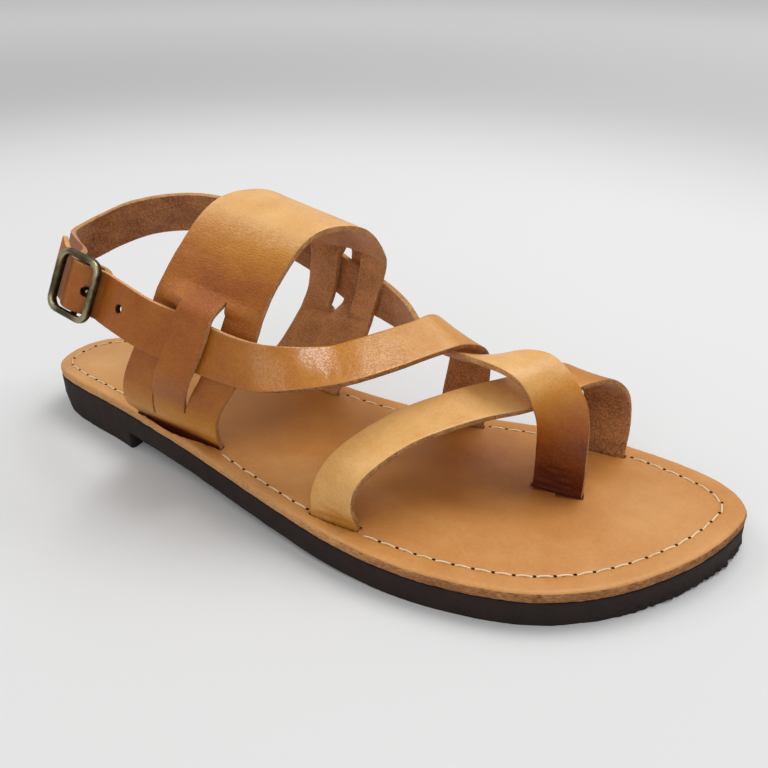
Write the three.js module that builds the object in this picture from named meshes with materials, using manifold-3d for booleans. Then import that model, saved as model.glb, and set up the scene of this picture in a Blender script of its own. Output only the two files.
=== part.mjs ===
// A handmade strapped leather sandal for a right foot, in millimetres.
//
// +X points to the toes, +Y to the inner side of the foot and +Z up. The origin is on
// the ground under the middle of the heel seat. A flat rubber outsole on a low heel
// carries a leather footbed. Four straps rise from slots in the footbed: a wide cuff
// over the instep, a strap over the ball of the foot, and two that are laced through
// the cuff and meet in a buckle on the outer side.

import * as THREE from 'three';
import { mergeVertices } from 'three/addons/utils/BufferGeometryUtils.js';
import Module from 'manifold-3d';

const wasm = await Module();
wasm.setup();

// ---------------------------------------------------------------- driving dimensions

const GAP = 0.3; // clearance between pieces that touch

const HEEL_HEIGHT = 7.3; // underside of the outsole above the ground at the heel
const HEEL_BREAST_X = 20; // front face of the heel
const HEEL_UNDERCUT = 2.5; // how far the heel's back leans in at the ground
const ARCH_START_X = 22; // the outsole leaves the heel's level here
const ARCH_END_X = 150; // and lies flat on the ground from here
const TOE_SPRING_START_X = 205;
const TOE_SPRING_LENGTH = 35;
const TOE_SPRING = 1.2; // rise of the underside at the toe's tip

const OUTSOLE_THICKNESS = 8.2;
const FOOTBED_THICKNESS = 4;
const SOLE_EDGE = 0.6; // rounding of the rubber's edges
const FOOTBED_EDGE = 1.1; // rounding of the leather's upper edge
const SOLE_STEPS = 3; // sections between two rows of the outline

const STRAP_THICKNESS = 2.4;
const CUFF_THICKNESS = 2.2;
const SECTION_STEP = 3; // distance between the sections along a strap
const SLOT_DEPTH = 3; // how far a strap's end sits below the top of the footbed
const SLOT_CLEARANCE = 0.5; // between a strap and the walls of its slot
const SLOT_REACH = 14; // length of strap that shapes its slot

const SLIT_WIDTH = 0.8; // the cuff's slits
const STRIP_LIFT = 6.7; // how far a laced strap pushes the cuff's middle strip out
const STRIP_RAMP = 9; // length over which the strip rises to that lift
const SLIT_BLEND = 4; // length over which a band joins the strip at a slit's end
const CUFF_WIDTH = 42; // for the width of a slit as a share of the cuff's

const BUCKLE_LENGTH = 20; // along the strap
const BUCKLE_HEIGHT = 23.6; // across the strap
const BUCKLE_BAR = 2.8;
const BUCKLE_CORNER = 5.2; // radius of the outer corners
const BUCKLE_EDGE = 0.8; // rounding of the bars
const CENTRE_BAR_RADIUS = 1;
const CENTRE_BAR_DROP = 3.6; // the centre bar lies this far behind the frame's middle
const PRONG_RADIUS = 0.75;
const PRONG_EYE = 1.2; // thickness of the prong's eye
const PRONG_HOLE_RADIUS = 1.8;
const PRONG_HOLE_REACH = 4; // half the length of the tool that cuts it
const CHAPE_THICKNESS = 1.2;
const CHAPE_WIDTH = 13;
const CHAPE_NOTCH = 4.4;
const CHAPE_TAIL = 7; // length of the chape behind the centre bar

const ROUND_SEGMENTS = 12; // facets round a bar, prong or hole

// ---------------------------------------------------------------- tables

// Outline of the sole: y of its outer and inner edge at each x along the foot.
const OUTLINE = table('x outer inner', [
  [-29.5, -8, 10.5],
  [-25, -13, 17],
  [-14, -17.8, 24.3],
  [8, -24, 29.3],
  [30, -30.8, 30.5],
  [52, -37.2, 29.7],
  [75, -44.6, 27.6],
  [98, -51.8, 26],
  [120, -58, 26.8],
  [142, -61.3, 31.2],
  [165, -61, 34.5],
  [186, -56.7, 35],
  [204, -46.8, 32.6],
  [219, -32.7, 28.4],
  [231, -16.5, 22.3],
  [237.5, -3, 15],
]);
const REAR_TIP = new THREE.Vector2(-31.3, 0.5);
const TOE_TIP = new THREE.Vector2(240, 7);

// Each strap is a flat band. A row gives the two ends of one section across it, on the
// middle of its thickness, in the order in which the strap runs.

// From the outer to the inner side of the foot: rear edge, then front edge.
const CUFF = table('ax ay az bx by bz', [
  [27, -28, 19.4, 67, -34.5, 17.2],
  [30.5, -37.5, 30.5, 68.5, -38, 25],
  [35, -42, 42, 71.5, -40.5, 34],
  [44.8, -39.5, 63, 83.8, -39.5, 55],
  [51.2, -26, 84.7, 91, -31.5, 79.5],
  [56, -5.5, 97.6, 98, -16.5, 93.7],
  [65, 17, 94, 106, 2, 91],
  [69.5, 32.5, 72.5, 107.5, 16.5, 76],
  [67.5, 35.5, 60, 104.5, 21, 66],
  [65, 36, 49, 100.5, 24, 54.5],
  [55, 29.5, 28, 92, 23.5, 28.5],
  [48, 22.5, 18.3, 86, 18.5, 15.9],
]);

// From the outer to the inner side of the foot: rear edge, then front edge.
const BALL_STRAP = table('ax ay az bx by bz', [
  [111.5, -50.8, 14.3, 128.5, -51.2, 13.2],
  [111, -48.5, 21, 127.5, -53, 21],
  [113, -44, 28.5, 128, -52, 27.5],
  [117, -38.5, 33.5, 131, -48, 32.5],
  [127, -25, 39.5, 140.5, -35.5, 38.5],
  [143.5, -5.5, 42.8, 156, -16.5, 40.4],
  [156, 8.5, 43.2, 169, -3, 40.3],
  [170.5, 24, 44.5, 184, 14, 44],
  [176, 29.5, 40, 190.5, 22.5, 42.5],
  [179.5, 31.5, 32, 195.5, 28, 36],
  [180.5, 30, 22, 197.5, 28.5, 25],
  [180.3, 26, 12.2, 197.5, 25.5, 12.2],
]);

// From behind the buckle, through the cuff, to the inner side: upper, then lower edge.
const LATERAL_STRAP = table('ax ay az bx by bz', [
  [49.5, -39.2, 72.5, 45.5, -44.2, 56.5],
  [60.5, -39.4, 70.3, 57, -44.2, 54],
  [81.5, -41, 66.4, 80.5, -45.2, 51.2],
  [90.8, -38.4, 64.4, 92.5, -45.8, 51.5],
  [105.5, -24, 60, 115.5, -37, 54.5],
  [112.5, -17.5, 61, 125, -28.5, 56],
  [124.5, -0.5, 62, 139, -8.5, 57.5],
  [129, 9, 61.6, 143.5, 2, 56],
  [131.6, 21.5, 46.5, 146.8, 19, 45],
  [128.5, 23.5, 24, 145.5, 25, 23],
  [128.2, 21.2, 13.1, 145.2, 23.8, 12.2],
]);

// From the toes, through the cuff and round the heel: upper, then lower edge.
const MEDIAL_STRAP = table('ax ay az bx by bz', [
  [172, -4, 12.2, 189, -5, 12.2],
  [172, -4, 26.5, 189, -5.5, 27],
  [171, -6.5, 40, 186, 0, 44.5],
  [166, -7, 50, 173.5, 7.5, 54.5],
  [160.5, -6, 53, 165, 10.5, 54.5],
  [145.5, -1.5, 53.8, 151, 13.5, 48.3],
  [138.5, 1, 53.8, 143.5, 14, 45.3],
  [125.5, 9, 56.5, 129.5, 18.5, 43.5],
  [115, 18.5, 60.5, 115.5, 24.5, 44.5],
  [103.5, 26, 63.5, 101, 29.5, 47],
  [90.5, 29.7, 67, 86.5, 31.8, 50.5],
  [71, 35.6, 73.5, 65.5, 39.5, 57.6],
  [53, 36.2, 80, 47.5, 39.2, 64],
  [22.5, 29.5, 86, 21, 34, 69.5],
  [-6, 23, 81.5, -3, 31, 66.5],
  [-18.5, 17.5, 76, -17.5, 25.5, 61],
  [-22, 13.5, 74, -23, 19.5, 58],
  [-22, 5, 73, -26, 3.5, 56],
  [-13, -3.5, 73.5, -19, -12.5, 59.5],
  [0, -13.5, 74.5, -7, -24, 63],
]);

// The lateral strap in the buckle: its middle, in the buckle's own axes.
const LACED_IN_BUCKLE = table('along up out', [
  [-17, 4.2, -6.8],
  [-12.5, 2, -4.6],
  [-8.7, 0.6, -3.8],
  [-6.8, 0.2, -3.2],
  [-3, 0, -0.4],
  [0, 0, 0.6],
  [3, 0, -0.4],
  [6.8, 0, -3.2],
  [8.7, 0, -3.8],
  [14, 0, -2.7],
  [22, 0, -1],
]);
const STRAP_HALF_WIDTH = 8.4;

// The end of the medial strap behind the buckle, given in the same way.
const GUARD = table('along up out', [
  [-8, 0, -8.3],
  [0, 0, -7.7],
  [8.3, 0, -7.7],
]);

// Slits of the cuff: where they start and end along it, and on which side of the strip.
const SLITS = table('start end front', [
  [14, 64, 0],
  [22, 68, 1],
  [146, 179, 0],
  [144, 180, 1],
]);

// The middle strip's two edges as shares of the cuff's width, on the outer and on the
// inner side, and where along the cuff one goes over into the other.
const STRIP_OUTER = [0.33, 0.67];
const STRIP_INNER = [0.4, 0.685];
const STRIP_NARROWS = { start: 80, end: 130 };

// Where a laced strap passes under the cuff's strip, along the cuff.
const PASSES = table('start end', [
  [43, 61.5],
  [152, 174],
]);

// The prong's middle line, from the centre bar to the frame's front bar.
const PRONG = table('along out', [
  [1.9, -3.9],
  [3.8, -3.6],
  [5, -1.7],
  [5.9, 0.1],
]);

// ---------------------------------------------------------------- helpers

/** Rows of numbers as objects whose keys are the column names. */
function table(columns, rows) {
  const names = columns.split(' ');
  return rows.map((row) => Object.fromEntries(names.map((name, i) => [name, row[i]])));
}

function clamp01(value) {
  return Math.min(1, Math.max(0, value));
}

function smooth(value) {
  const t = clamp01(value);
  return t * t * (3 - 2 * t);
}

/** A closed geometry from points and triangles that index them. */
function closedGeometry(points, triangles) {
  const geometry = new THREE.BufferGeometry().setFromPoints(points);
  geometry.setIndex(triangles);
  return geometry;
}

/** The manifold solid of a closed geometry. */
function toSolid(geometry) {
  const bare = geometry.clone();
  bare.deleteAttribute('normal');
  bare.deleteAttribute('uv');
  const merged = mergeVertices(bare, 1e-4);
  return new wasm.Manifold(new wasm.Mesh({
    numProp: 3,
    vertProperties: new Float32Array(merged.attributes.position.array),
    triVerts: new Uint32Array(merged.index.array),
  }));
}

/** The geometry of a manifold solid. */
function toGeometry(solid) {
  const { vertProperties, triVerts } = solid.getMesh();
  const geometry = new THREE.BufferGeometry();
  geometry.setAttribute('position', new THREE.BufferAttribute(vertProperties, 3));
  geometry.setIndex(new THREE.BufferAttribute(triVerts, 1));
  return geometry;
}

const group = new THREE.Group();

/** Adds one named piece to the sandal. */
function addPiece(name, geometry, finish) {
  geometry.computeVertexNormals();
  const mesh = new THREE.Mesh(geometry, new THREE.MeshStandardMaterial(finish));
  mesh.name = name;
  group.add(mesh);
  return mesh;
}

// ---------------------------------------------------------------- finishes

const RUBBER = { color: '#3a2a29', roughness: 0.85, metalness: 0 };
const FOOTBED_LEATHER = { color: '#c8935a', roughness: 0.55, metalness: 0 };
const STRAP_LEATHER = { color: '#c98a4a', roughness: 0.45, metalness: 0 };
const ANTIQUE_BRASS = { color: '#5f5a3c', roughness: 0.4, metalness: 0.9 };

// ---------------------------------------------------------------- sole

/** Height of the outsole's underside at x: heel, arch, flat tread and toe spring. */
function underside(x) {
  const along = clamp01((x - ARCH_START_X) / (ARCH_END_X - ARCH_START_X));
  const arch = HEEL_HEIGHT * (1 - (along + smooth(along)) / 2);
  const toe = clamp01((x - TOE_SPRING_START_X) / TOE_SPRING_LENGTH);
  return arch + TOE_SPRING * toe * toe;
}

/** Height of the footbed's top at x. */
function bedTop(x) {
  return underside(x) + OUTSOLE_THICKNESS + FOOTBED_THICKNESS;
}

/** The sole's whole outline: rear tip, outer edge, toe tip, inner edge. */
function soleOutline() {
  const outer = OUTLINE.map((row) => new THREE.Vector3(row.x, row.outer, 0));
  const inner = OUTLINE.map((row) => new THREE.Vector3(row.x, row.inner, 0));
  const tips = [REAR_TIP, TOE_TIP].map((tip) => new THREE.Vector3(tip.x, tip.y, 0));
  const corners = [tips[0], ...outer, tips[1], ...inner.reverse()];
  const curve = new THREE.CatmullRomCurve3(corners, true, 'centripetal');
  const points = curve.getPoints(corners.length * SOLE_STEPS).slice(0, -1);
  return points.map((point) => new THREE.Vector2(point.x, point.y));
}

/** The part of the outline behind the heel's breast, closed by a straight front. */
function heelOutline() {
  const outline = soleOutline();
  const half = outline.length / 2;
  const outer = outline.slice(0, half).filter((point) => point.x < HEEL_BREAST_X - 1);
  const inner = outline.slice(half).filter((point) => point.x < HEEL_BREAST_X - 1);
  const breastEdge = (side) => {
    const after = side.findIndex((point) => point.x >= HEEL_BREAST_X);
    const [a, b] = [side[after - 1], side[after]];
    return a.clone().lerp(b, (HEEL_BREAST_X - a.x) / (b.x - a.x));
  };
  const outerEnd = breastEdge(outline.slice(0, half));
  const innerEnd = breastEdge([outline[0], ...outline.slice(half).reverse()]);
  return [...outer, outerEnd, innerEnd, ...inner];
}

/** An outline moved inwards by the given distance. */
function insetOutline(outline, inset) {
  const count = outline.length;
  return outline.map((point, i) => {
    const previous = outline[(i + count - 1) % count];
    const next = outline[(i + 1) % count];
    const along = next.clone().sub(previous).normalize();
    return point.clone().add(new THREE.Vector2(-along.y, along.x).multiplyScalar(inset));
  });
}

/** A closed body from rings of points, one above the other, capped at both ends. */
function stackedRings(rings) {
  const count = rings[0].length;
  const triangles = [];
  for (let level = 0; level + 1 < rings.length; level++) {
    for (let i = 0; i < count; i++) {
      const a = level * count + i;
      const b = level * count + ((i + 1) % count);
      triangles.push(a, b, b + count, a, b + count, a + count);
    }
  }
  const top = (rings.length - 1) * count;
  for (let i = 0, j = count; i + 1 < j; i++, j--) {
    const last = j % count;
    triangles.push(j - 1, i + 1, i, top + i, top + i + 1, top + j - 1);
    if (i > 0) {
      triangles.push(last, j - 1, i, top + i, top + j - 1, top + last);
    }
  }
  return closedGeometry(rings.flat(), dropThin(triangles));
}

/** Leaves out triangles that use one point twice. */
function dropThin(triangles) {
  const kept = [];
  for (let i = 0; i < triangles.length; i += 3) {
    const [a, b, c] = triangles.slice(i, i + 3);
    if (a !== b && b !== c && c !== a) {
      kept.push(a, b, c);
    }
  }
  return kept;
}

/** A flat layer of the sole between two heights above its underside. */
function soleLayer(outline, levels) {
  return stackedRings(levels.map(({ inset, height }) => insetOutline(outline, inset)
    .map((point) => new THREE.Vector3(point.x, point.y, underside(point.x) + height))));
}

function makeOutsole() {
  const top = OUTSOLE_THICKNESS;
  return soleLayer(soleOutline(), table('inset height', [
    [SOLE_EDGE, 0],
    [0, SOLE_EDGE],
    [0, top],
  ]));
}

function makeFootbed() {
  const bottom = OUTSOLE_THICKNESS + GAP;
  const top = OUTSOLE_THICKNESS + FOOTBED_THICKNESS;
  return soleLayer(soleOutline(), table('inset height', [
    [SOLE_EDGE / 2, bottom],
    [0, bottom + SOLE_EDGE],
    [0, top - FOOTBED_EDGE],
    [FOOTBED_EDGE / 3, top - FOOTBED_EDGE / 3],
    [FOOTBED_EDGE, top],
  ]));
}

/** The heel: flat on the ground, with a back that leans in towards it. */
function makeHeel() {
  const outline = heelOutline();
  const ground = outline.map((point) => {
    const lean = HEEL_UNDERCUT * clamp01(point.x / REAR_TIP.x);
    return new THREE.Vector3(point.x + lean, point.y, 0);
  });
  const top = outline.map((point) => new THREE.Vector3(point.x, point.y, HEEL_HEIGHT - GAP));
  return stackedRings([ground, top]);
}

// ---------------------------------------------------------------- straps

/** A strap's middle surface: s runs along it in millimetres, v across it from 0 to 1. */
class Strap {
  constructor(rows) {
    const edge = (x, y, z) => new THREE.CatmullRomCurve3(
      rows.map((row) => new THREE.Vector3(row[x], row[y], row[z])), false, 'centripetal');
    this.a = edge('ax', 'ay', 'az');
    this.b = edge('bx', 'by', 'bz');
    this.lengths = this.measure(rows.length * 20);
    this.length = this.lengths.at(-1);
  }

  /** Distance along the middle line at even steps of the curves' parameter. */
  measure(steps) {
    const lengths = [0];
    let last = this.mix(0, 0.5);
    for (let i = 1; i <= steps; i++) {
      const point = this.mix(i / steps, 0.5);
      lengths.push(lengths.at(-1) + point.distanceTo(last));
      last = point;
    }
    return lengths;
  }

  mix(t, v) {
    return this.a.getPoint(t).lerp(this.b.getPoint(t), v);
  }

  /** The curves' parameter at distance s. */
  parameter(s) {
    const after = this.lengths.findIndex((length) => length >= s);
    const i = after < 0 ? this.lengths.length - 1 : Math.max(1, after);
    const part = (s - this.lengths[i - 1]) / (this.lengths[i] - this.lengths[i - 1]);
    return clamp01((i - 1 + part) / (this.lengths.length - 1));
  }

  point(s, v) {
    return this.mix(this.parameter(s), v);
  }

  /** Unit vector out of the smooth side of the leather, away from the foot. */
  normal(s, v) {
    const before = this.point(Math.max(0, s - 0.5), v);
    const after = this.point(Math.min(this.length, s + 0.5), v);
    const across = this.point(s, 1).sub(this.point(s, 0));
    return across.cross(after.sub(before)).normalize();
  }

  /** The strap's edges at distance s, as a row of a table. */
  row(s) {
    const [a, b] = [this.point(s, 0), this.point(s, 1)];
    return { ax: a.x, ay: a.y, az: a.z, bx: b.x, by: b.y, bz: b.z };
  }
}

/** Even stations from start to end, with the given ones among them. */
function stations(start, end, { fixed = [], step = SECTION_STEP } = {}) {
  const stops = [start, ...fixed, end].sort((p, q) => p - q);
  const result = [start];
  for (let i = 1; i < stops.length; i++) {
    const count = Math.max(1, Math.round((stops[i] - stops[i - 1]) / step));
    for (let k = 1; k <= count; k++) {
      result.push(stops[i - 1] + ((stops[i] - stops[i - 1]) * k) / count);
    }
  }
  return result;
}

/**
 * A closed sheet of even thickness over a grid of cells. The point function gives its
 * two faces at station i and lane edge j, and the open function says which cells are cut.
 */
function sheet(rowCount, laneCount, face, open = () => false) {
  const points = [];
  for (let i = 0; i <= rowCount; i++) {
    for (let j = 0; j <= laneCount; j++) {
      points.push(face(i, j, 1), face(i, j, -1));
    }
  }
  const index = (i, j, side) => (i * (laneCount + 1) + j) * 2 + (side > 0 ? 0 : 1);
  const isCut = (i, j) => i < 0 || j < 0 || i >= rowCount || j >= laneCount || open(i, j);
  const triangles = [];
  const wall = (from, to) => {
    const [p, q] = [index(...from, 1), index(...to, 1)];
    triangles.push(p, p + 1, q + 1, p, q + 1, q);
  };
  for (let i = 0; i < rowCount; i++) {
    for (let j = 0; j < laneCount; j++) {
      if (isCut(i, j)) {
        continue;
      }
      for (const side of [1, -1]) {
        const corners = [index(i, j, side), index(i, j + 1, side),
          index(i + 1, j + 1, side), index(i + 1, j, side)];
        const [a, b, c, d] = side > 0 ? corners : corners.reverse();
        triangles.push(a, b, c, a, c, d);
      }
      const sides = [
        { beyond: isCut(i, j - 1), from: [i + 1, j], to: [i, j] },
        { beyond: isCut(i, j + 1), from: [i, j + 1], to: [i + 1, j + 1] },
        { beyond: isCut(i - 1, j), from: [i, j], to: [i, j + 1] },
        { beyond: isCut(i + 1, j), from: [i + 1, j + 1], to: [i + 1, j] },
      ];
      sides.filter((side) => side.beyond).forEach((side) => wall(side.from, side.to));
    }
  }
  return closedGeometry(points, triangles);
}

/** A plain strap, widened and thickened by the given margin. */
function band(strap, thickness, { step = SECTION_STEP, margin = 0 } = {}) {
  const along = stations(0, strap.length, { step });
  const face = (i, j, side) => {
    const normal = strap.normal(along[i], j);
    const across = strap.point(along[i], 1).sub(strap.point(along[i], 0)).normalize();
    return strap.point(along[i], j)
      .addScaledVector(across, margin * (j === 0 ? -1 : 1))
      .addScaledVector(normal, side * (thickness / 2 + margin));
  };
  return sheet(along.length - 1, 1, face);
}

/** A strap's end row, moved straight down into the footbed. */
function seated(row) {
  return { ...row, az: bedTop(row.ax) - SLOT_DEPTH, bz: bedTop(row.bx) - SLOT_DEPTH };
}

/** The tool that cuts a strap's slot: the strap's end, run on down through the bed. */
function slotCutter(strap, thickness, atEnd) {
  const step = SECTION_STEP / 2;
  const rows = stations(0, SLOT_REACH, { step })
    .map((s) => strap.row(atEnd ? strap.length - s : s));
  const below = { ...rows[0], az: rows[0].az - SLOT_REACH, bz: rows[0].bz - SLOT_REACH };
  const cut = new Strap(atEnd ? [...rows.reverse(), below] : [below, ...rows]);
  return toSolid(band(cut, thickness, { step, margin: SLOT_CLEARANCE }));
}

// ---------------------------------------------------------------- cuff

const cuff = new Strap([seated(CUFF[0]), ...CUFF, seated(CUFF.at(-1))]);

/** Where the middle strip begins and ends across the cuff, at distance s. */
function stripEdges(s) {
  const along = smooth((s - STRIP_NARROWS.start) / (STRIP_NARROWS.end - STRIP_NARROWS.start));
  return [0, 1].map((side) => STRIP_OUTER[side] + (STRIP_INNER[side] - STRIP_OUTER[side]) * along);
}

/** How far the strip stands out from the cuff where a laced strap passes under it. */
function stripLift(s) {
  const lifts = PASSES.map(({ start, end }) => {
    const rise = smooth((s - start + STRIP_RAMP) / STRIP_RAMP);
    const fall = smooth((end + STRIP_RAMP - s) / STRIP_RAMP);
    return STRIP_LIFT * Math.min(rise, fall);
  });
  return Math.max(...lifts);
}

/** 1 beyond the ends of the slit on one side of the strip, 0 well inside it. */
function joined(s, front) {
  const sides = SLITS.filter((slit) => slit.front === front);
  const inside = sides.map(({ start, end }) => Math.min(s - start, end - s));
  return 1 - smooth(Math.max(...inside) / SLIT_BLEND);
}

/** The cuff's outward lift at distance s, on lane edge j of the six across it. */
function cuffLift(s, j) {
  if (j === 0 || j === 5) {
    return 0;
  }
  const onStrip = j === 2 || j === 3;
  return stripLift(s) * (onStrip ? 1 : joined(s, j > 2 ? 1 : 0));
}

/** The cuff: three lanes across, the middle one a strip that two pairs of slits free. */
function makeCuff() {
  const ends = SLITS.flatMap(({ start, end }) => [start, end]);
  const along = stations(0, cuff.length, { fixed: ends });
  const across = (s, j) => {
    const half = SLIT_WIDTH / 2 / CUFF_WIDTH;
    const [rear, front] = stripEdges(s);
    return [0, rear - half, rear + half, front - half, front + half, 1][j];
  };
  const face = (i, j, side) => {
    const s = along[i];
    const v = across(s, j);
    const lift = cuffLift(s, j) + (side * CUFF_THICKNESS) / 2;
    return cuff.point(s, v).addScaledVector(cuff.normal(s, v), lift);
  };
  const open = (i, j) => SLITS.some(({ start, end, front }) => {
    const lane = front ? 3 : 1;
    return j === lane && along[i] >= start - 0.01 && along[i + 1] <= end + 0.01;
  });
  return sheet(along.length - 1, 5, face, open);
}

// ---------------------------------------------------------------- buckle

const BUCKLE_CENTRE = new THREE.Vector3(16, -38.1, 71.8);
const BUCKLE_ALONG = new THREE.Vector3(0.97, -0.16, -0.17).normalize();
const BUCKLE_OUT = new THREE.Vector3(-0.08, -0.92, 0.38)
  .cross(BUCKLE_ALONG).negate().cross(BUCKLE_ALONG).normalize();
const BUCKLE_UP = BUCKLE_OUT.clone().cross(BUCKLE_ALONG);
const BUCKLE_TURN = new THREE.Quaternion().setFromRotationMatrix(
  new THREE.Matrix4().makeBasis(BUCKLE_ALONG, BUCKLE_UP, BUCKLE_OUT));

/** A point given in the buckle's own axes. */
function atBuckle(along, up, out) {
  return new THREE.Vector3(along, up, out).applyQuaternion(BUCKLE_TURN).add(BUCKLE_CENTRE);
}

/** A strap's section in the buckle, as a row of a table. */
function buckleRow({ along, up, out }) {
  const a = atBuckle(along, up + STRAP_HALF_WIDTH, out);
  const b = atBuckle(along, up - STRAP_HALF_WIDTH, out);
  return { ax: a.x, ay: a.y, az: a.z, bx: b.x, by: b.y, bz: b.z };
}

/** Places a piece that is made in the buckle's own axes. */
function placeAtBuckle(mesh) {
  mesh.position.copy(BUCKLE_CENTRE);
  mesh.quaternion.copy(BUCKLE_TURN);
}

/** Draws a rectangle with round corners into a shape or a path. */
function roundedRectangle(path, width, height, radius) {
  const [x, y] = [width / 2, height / 2];
  path.moveTo(-x + radius, -y);
  path.absarc(x - radius, -y + radius, radius, -Math.PI / 2, 0, false);
  path.absarc(x - radius, y - radius, radius, 0, Math.PI / 2, false);
  path.absarc(-x + radius, y - radius, radius, Math.PI / 2, Math.PI, false);
  path.absarc(-x + radius, -y + radius, radius, Math.PI, Math.PI * 1.5, false);
  path.closePath();
  return path;
}

/** A round rod between two points. */
function rod(from, to, radius) {
  const length = from.distanceTo(to);
  const geometry = new THREE.CylinderGeometry(radius, radius, length, ROUND_SEGMENTS);
  const up = new THREE.Vector3(0, 1, 0);
  const direction = to.clone().sub(from).normalize();
  geometry.applyQuaternion(new THREE.Quaternion().setFromUnitVectors(up, direction));
  const middle = from.clone().lerp(to, 0.5);
  return geometry.translate(middle.x, middle.y, middle.z);
}

/** The frame with its dropped centre bar. */
function makeBuckleFrame() {
  const edge = BUCKLE_EDGE;
  const flat = new THREE.Shape();
  roundedRectangle(flat, BUCKLE_LENGTH - 2 * edge, BUCKLE_HEIGHT - 2 * edge, BUCKLE_CORNER - edge);
  const window = new THREE.Path();
  const inset = 2 * (BUCKLE_BAR - edge);
  roundedRectangle(window, BUCKLE_LENGTH - inset, BUCKLE_HEIGHT - inset,
    BUCKLE_CORNER - BUCKLE_BAR + edge);
  flat.holes.push(window);
  const ring = new THREE.ExtrudeGeometry(flat, {
    depth: BUCKLE_BAR - 2 * edge,
    bevelThickness: edge,
    bevelSize: edge,
    bevelSegments: 2,
    curveSegments: 5,
  }).translate(0, 0, -BUCKLE_BAR / 2 + edge);
  const post = (BUCKLE_HEIGHT - BUCKLE_BAR) / 2;
  const back = -CENTRE_BAR_DROP;
  const ends = [-post, post].map((y) => new THREE.Vector3(0, y, back));
  const rails = [-post, post].map((y) => new THREE.Vector3(0, y, 0));
  const overlap = new THREE.Vector3(0, CENTRE_BAR_RADIUS, 0);
  const bar = rod(ends[0].clone().sub(overlap), ends[1].clone().add(overlap), CENTRE_BAR_RADIUS);
  const sink = new THREE.Vector3(0, 0, -CENTRE_BAR_RADIUS);
  const posts = ends.map((end, i) => rod(end.clone().add(sink), rails[i], CENTRE_BAR_RADIUS * 1.1));
  const frame = posts.reduce((sum, piece) => sum.add(toSolid(piece)), toSolid(ring));
  return toGeometry(frame.add(toSolid(bar)));
}

/** A ring round the centre bar, as a shape in the plane across it. */
function ringShape(innerRadius, outerRadius) {
  const shape = new THREE.Shape().absarc(0, 0, outerRadius, 0, Math.PI * 2, false);
  shape.holes.push(new THREE.Path().absarc(0, 0, innerRadius, 0, Math.PI * 2, true));
  return shape;
}

/** A shape drawn along x and out, extruded to the given width across the strap. */
function acrossStrap(shape, width, curveSegments) {
  return new THREE.ExtrudeGeometry(shape, { depth: width, bevelEnabled: false, curveSegments })
    .translate(0, 0, -width / 2)
    .rotateX(Math.PI / 2)
    .translate(0, 0, -CENTRE_BAR_DROP);
}

/** The prong: an eye round the centre bar and a bent pin. */
function makeBuckleProng() {
  const inner = CENTRE_BAR_RADIUS + GAP;
  const eye = acrossStrap(ringShape(inner, inner + PRONG_EYE), 2 * PRONG_RADIUS, ROUND_SEGMENTS / 2);
  const stops = PRONG.map(({ along, out }) => new THREE.Vector3(along, 0, out));
  const pin = new THREE.ExtrudeGeometry(
    new THREE.Shape().absarc(0, 0, PRONG_RADIUS, 0, Math.PI * 2, false),
    { steps: 8, extrudePath: new THREE.CatmullRomCurve3(stops), curveSegments: ROUND_SEGMENTS / 2 });
  return toGeometry(toSolid(eye).add(toSolid(pin)));
}

/** The chape: a leather loop round the centre bar, with a tail and a notch for the prong. */
function makeBuckleChape() {
  const inner = CENTRE_BAR_RADIUS + GAP;
  const outer = inner + CHAPE_THICKNESS;
  const loop = toSolid(acrossStrap(ringShape(inner, outer), CHAPE_WIDTH, ROUND_SEGMENTS));
  const tail = new THREE.BoxGeometry(CHAPE_TAIL, CHAPE_WIDTH, CHAPE_THICKNESS)
    .translate(-CHAPE_TAIL / 2, 0, -CENTRE_BAR_DROP - outer + CHAPE_THICKNESS / 2);
  const notch = new THREE.BoxGeometry(3 * outer, CHAPE_NOTCH, 4 * outer)
    .translate(outer / 2, 0, -CENTRE_BAR_DROP);
  return toGeometry(loop.add(toSolid(tail)).subtract(toSolid(notch)));
}

/** The hole of the lateral strap that takes the prong, in world axes. */
function prongHole() {
  const { along, out } = PRONG.at(-2);
  const ends = [-PRONG_HOLE_REACH, PRONG_HOLE_REACH].map((reach) => atBuckle(along, 0, out + reach));
  return toSolid(rod(ends[0], ends[1], PRONG_HOLE_RADIUS));
}

// ---------------------------------------------------------------- assembly

const ballStrap = new Strap([seated(BALL_STRAP[0]), ...BALL_STRAP, seated(BALL_STRAP.at(-1))]);
const lateralStrap = new Strap([
  ...LACED_IN_BUCKLE.map(buckleRow), ...LATERAL_STRAP, seated(LATERAL_STRAP.at(-1)),
]);
const medialStrap = new Strap([seated(MEDIAL_STRAP[0]), ...MEDIAL_STRAP, ...GUARD.map(buckleRow)]);

addPiece('outsole', makeOutsole(), RUBBER);
addPiece('heel', makeHeel(), RUBBER);

const slots = [
  slotCutter(cuff, CUFF_THICKNESS, false),
  slotCutter(cuff, CUFF_THICKNESS, true),
  slotCutter(ballStrap, STRAP_THICKNESS, false),
  slotCutter(ballStrap, STRAP_THICKNESS, true),
  slotCutter(lateralStrap, STRAP_THICKNESS, true),
  slotCutter(medialStrap, STRAP_THICKNESS, false),
];
const slottedBed = slots.reduce((bed, slot) => bed.subtract(slot), toSolid(makeFootbed()));
addPiece('footbed', toGeometry(slottedBed), FOOTBED_LEATHER);

addPiece('upper_instep_cuff', makeCuff(), STRAP_LEATHER);
addPiece('upper_ball_strap', band(ballStrap, STRAP_THICKNESS), STRAP_LEATHER);
const punched = toSolid(band(lateralStrap, STRAP_THICKNESS)).subtract(prongHole());
addPiece('upper_lateral_strap', toGeometry(punched), STRAP_LEATHER);
addPiece('upper_medial_strap', band(medialStrap, STRAP_THICKNESS), STRAP_LEATHER);

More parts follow.
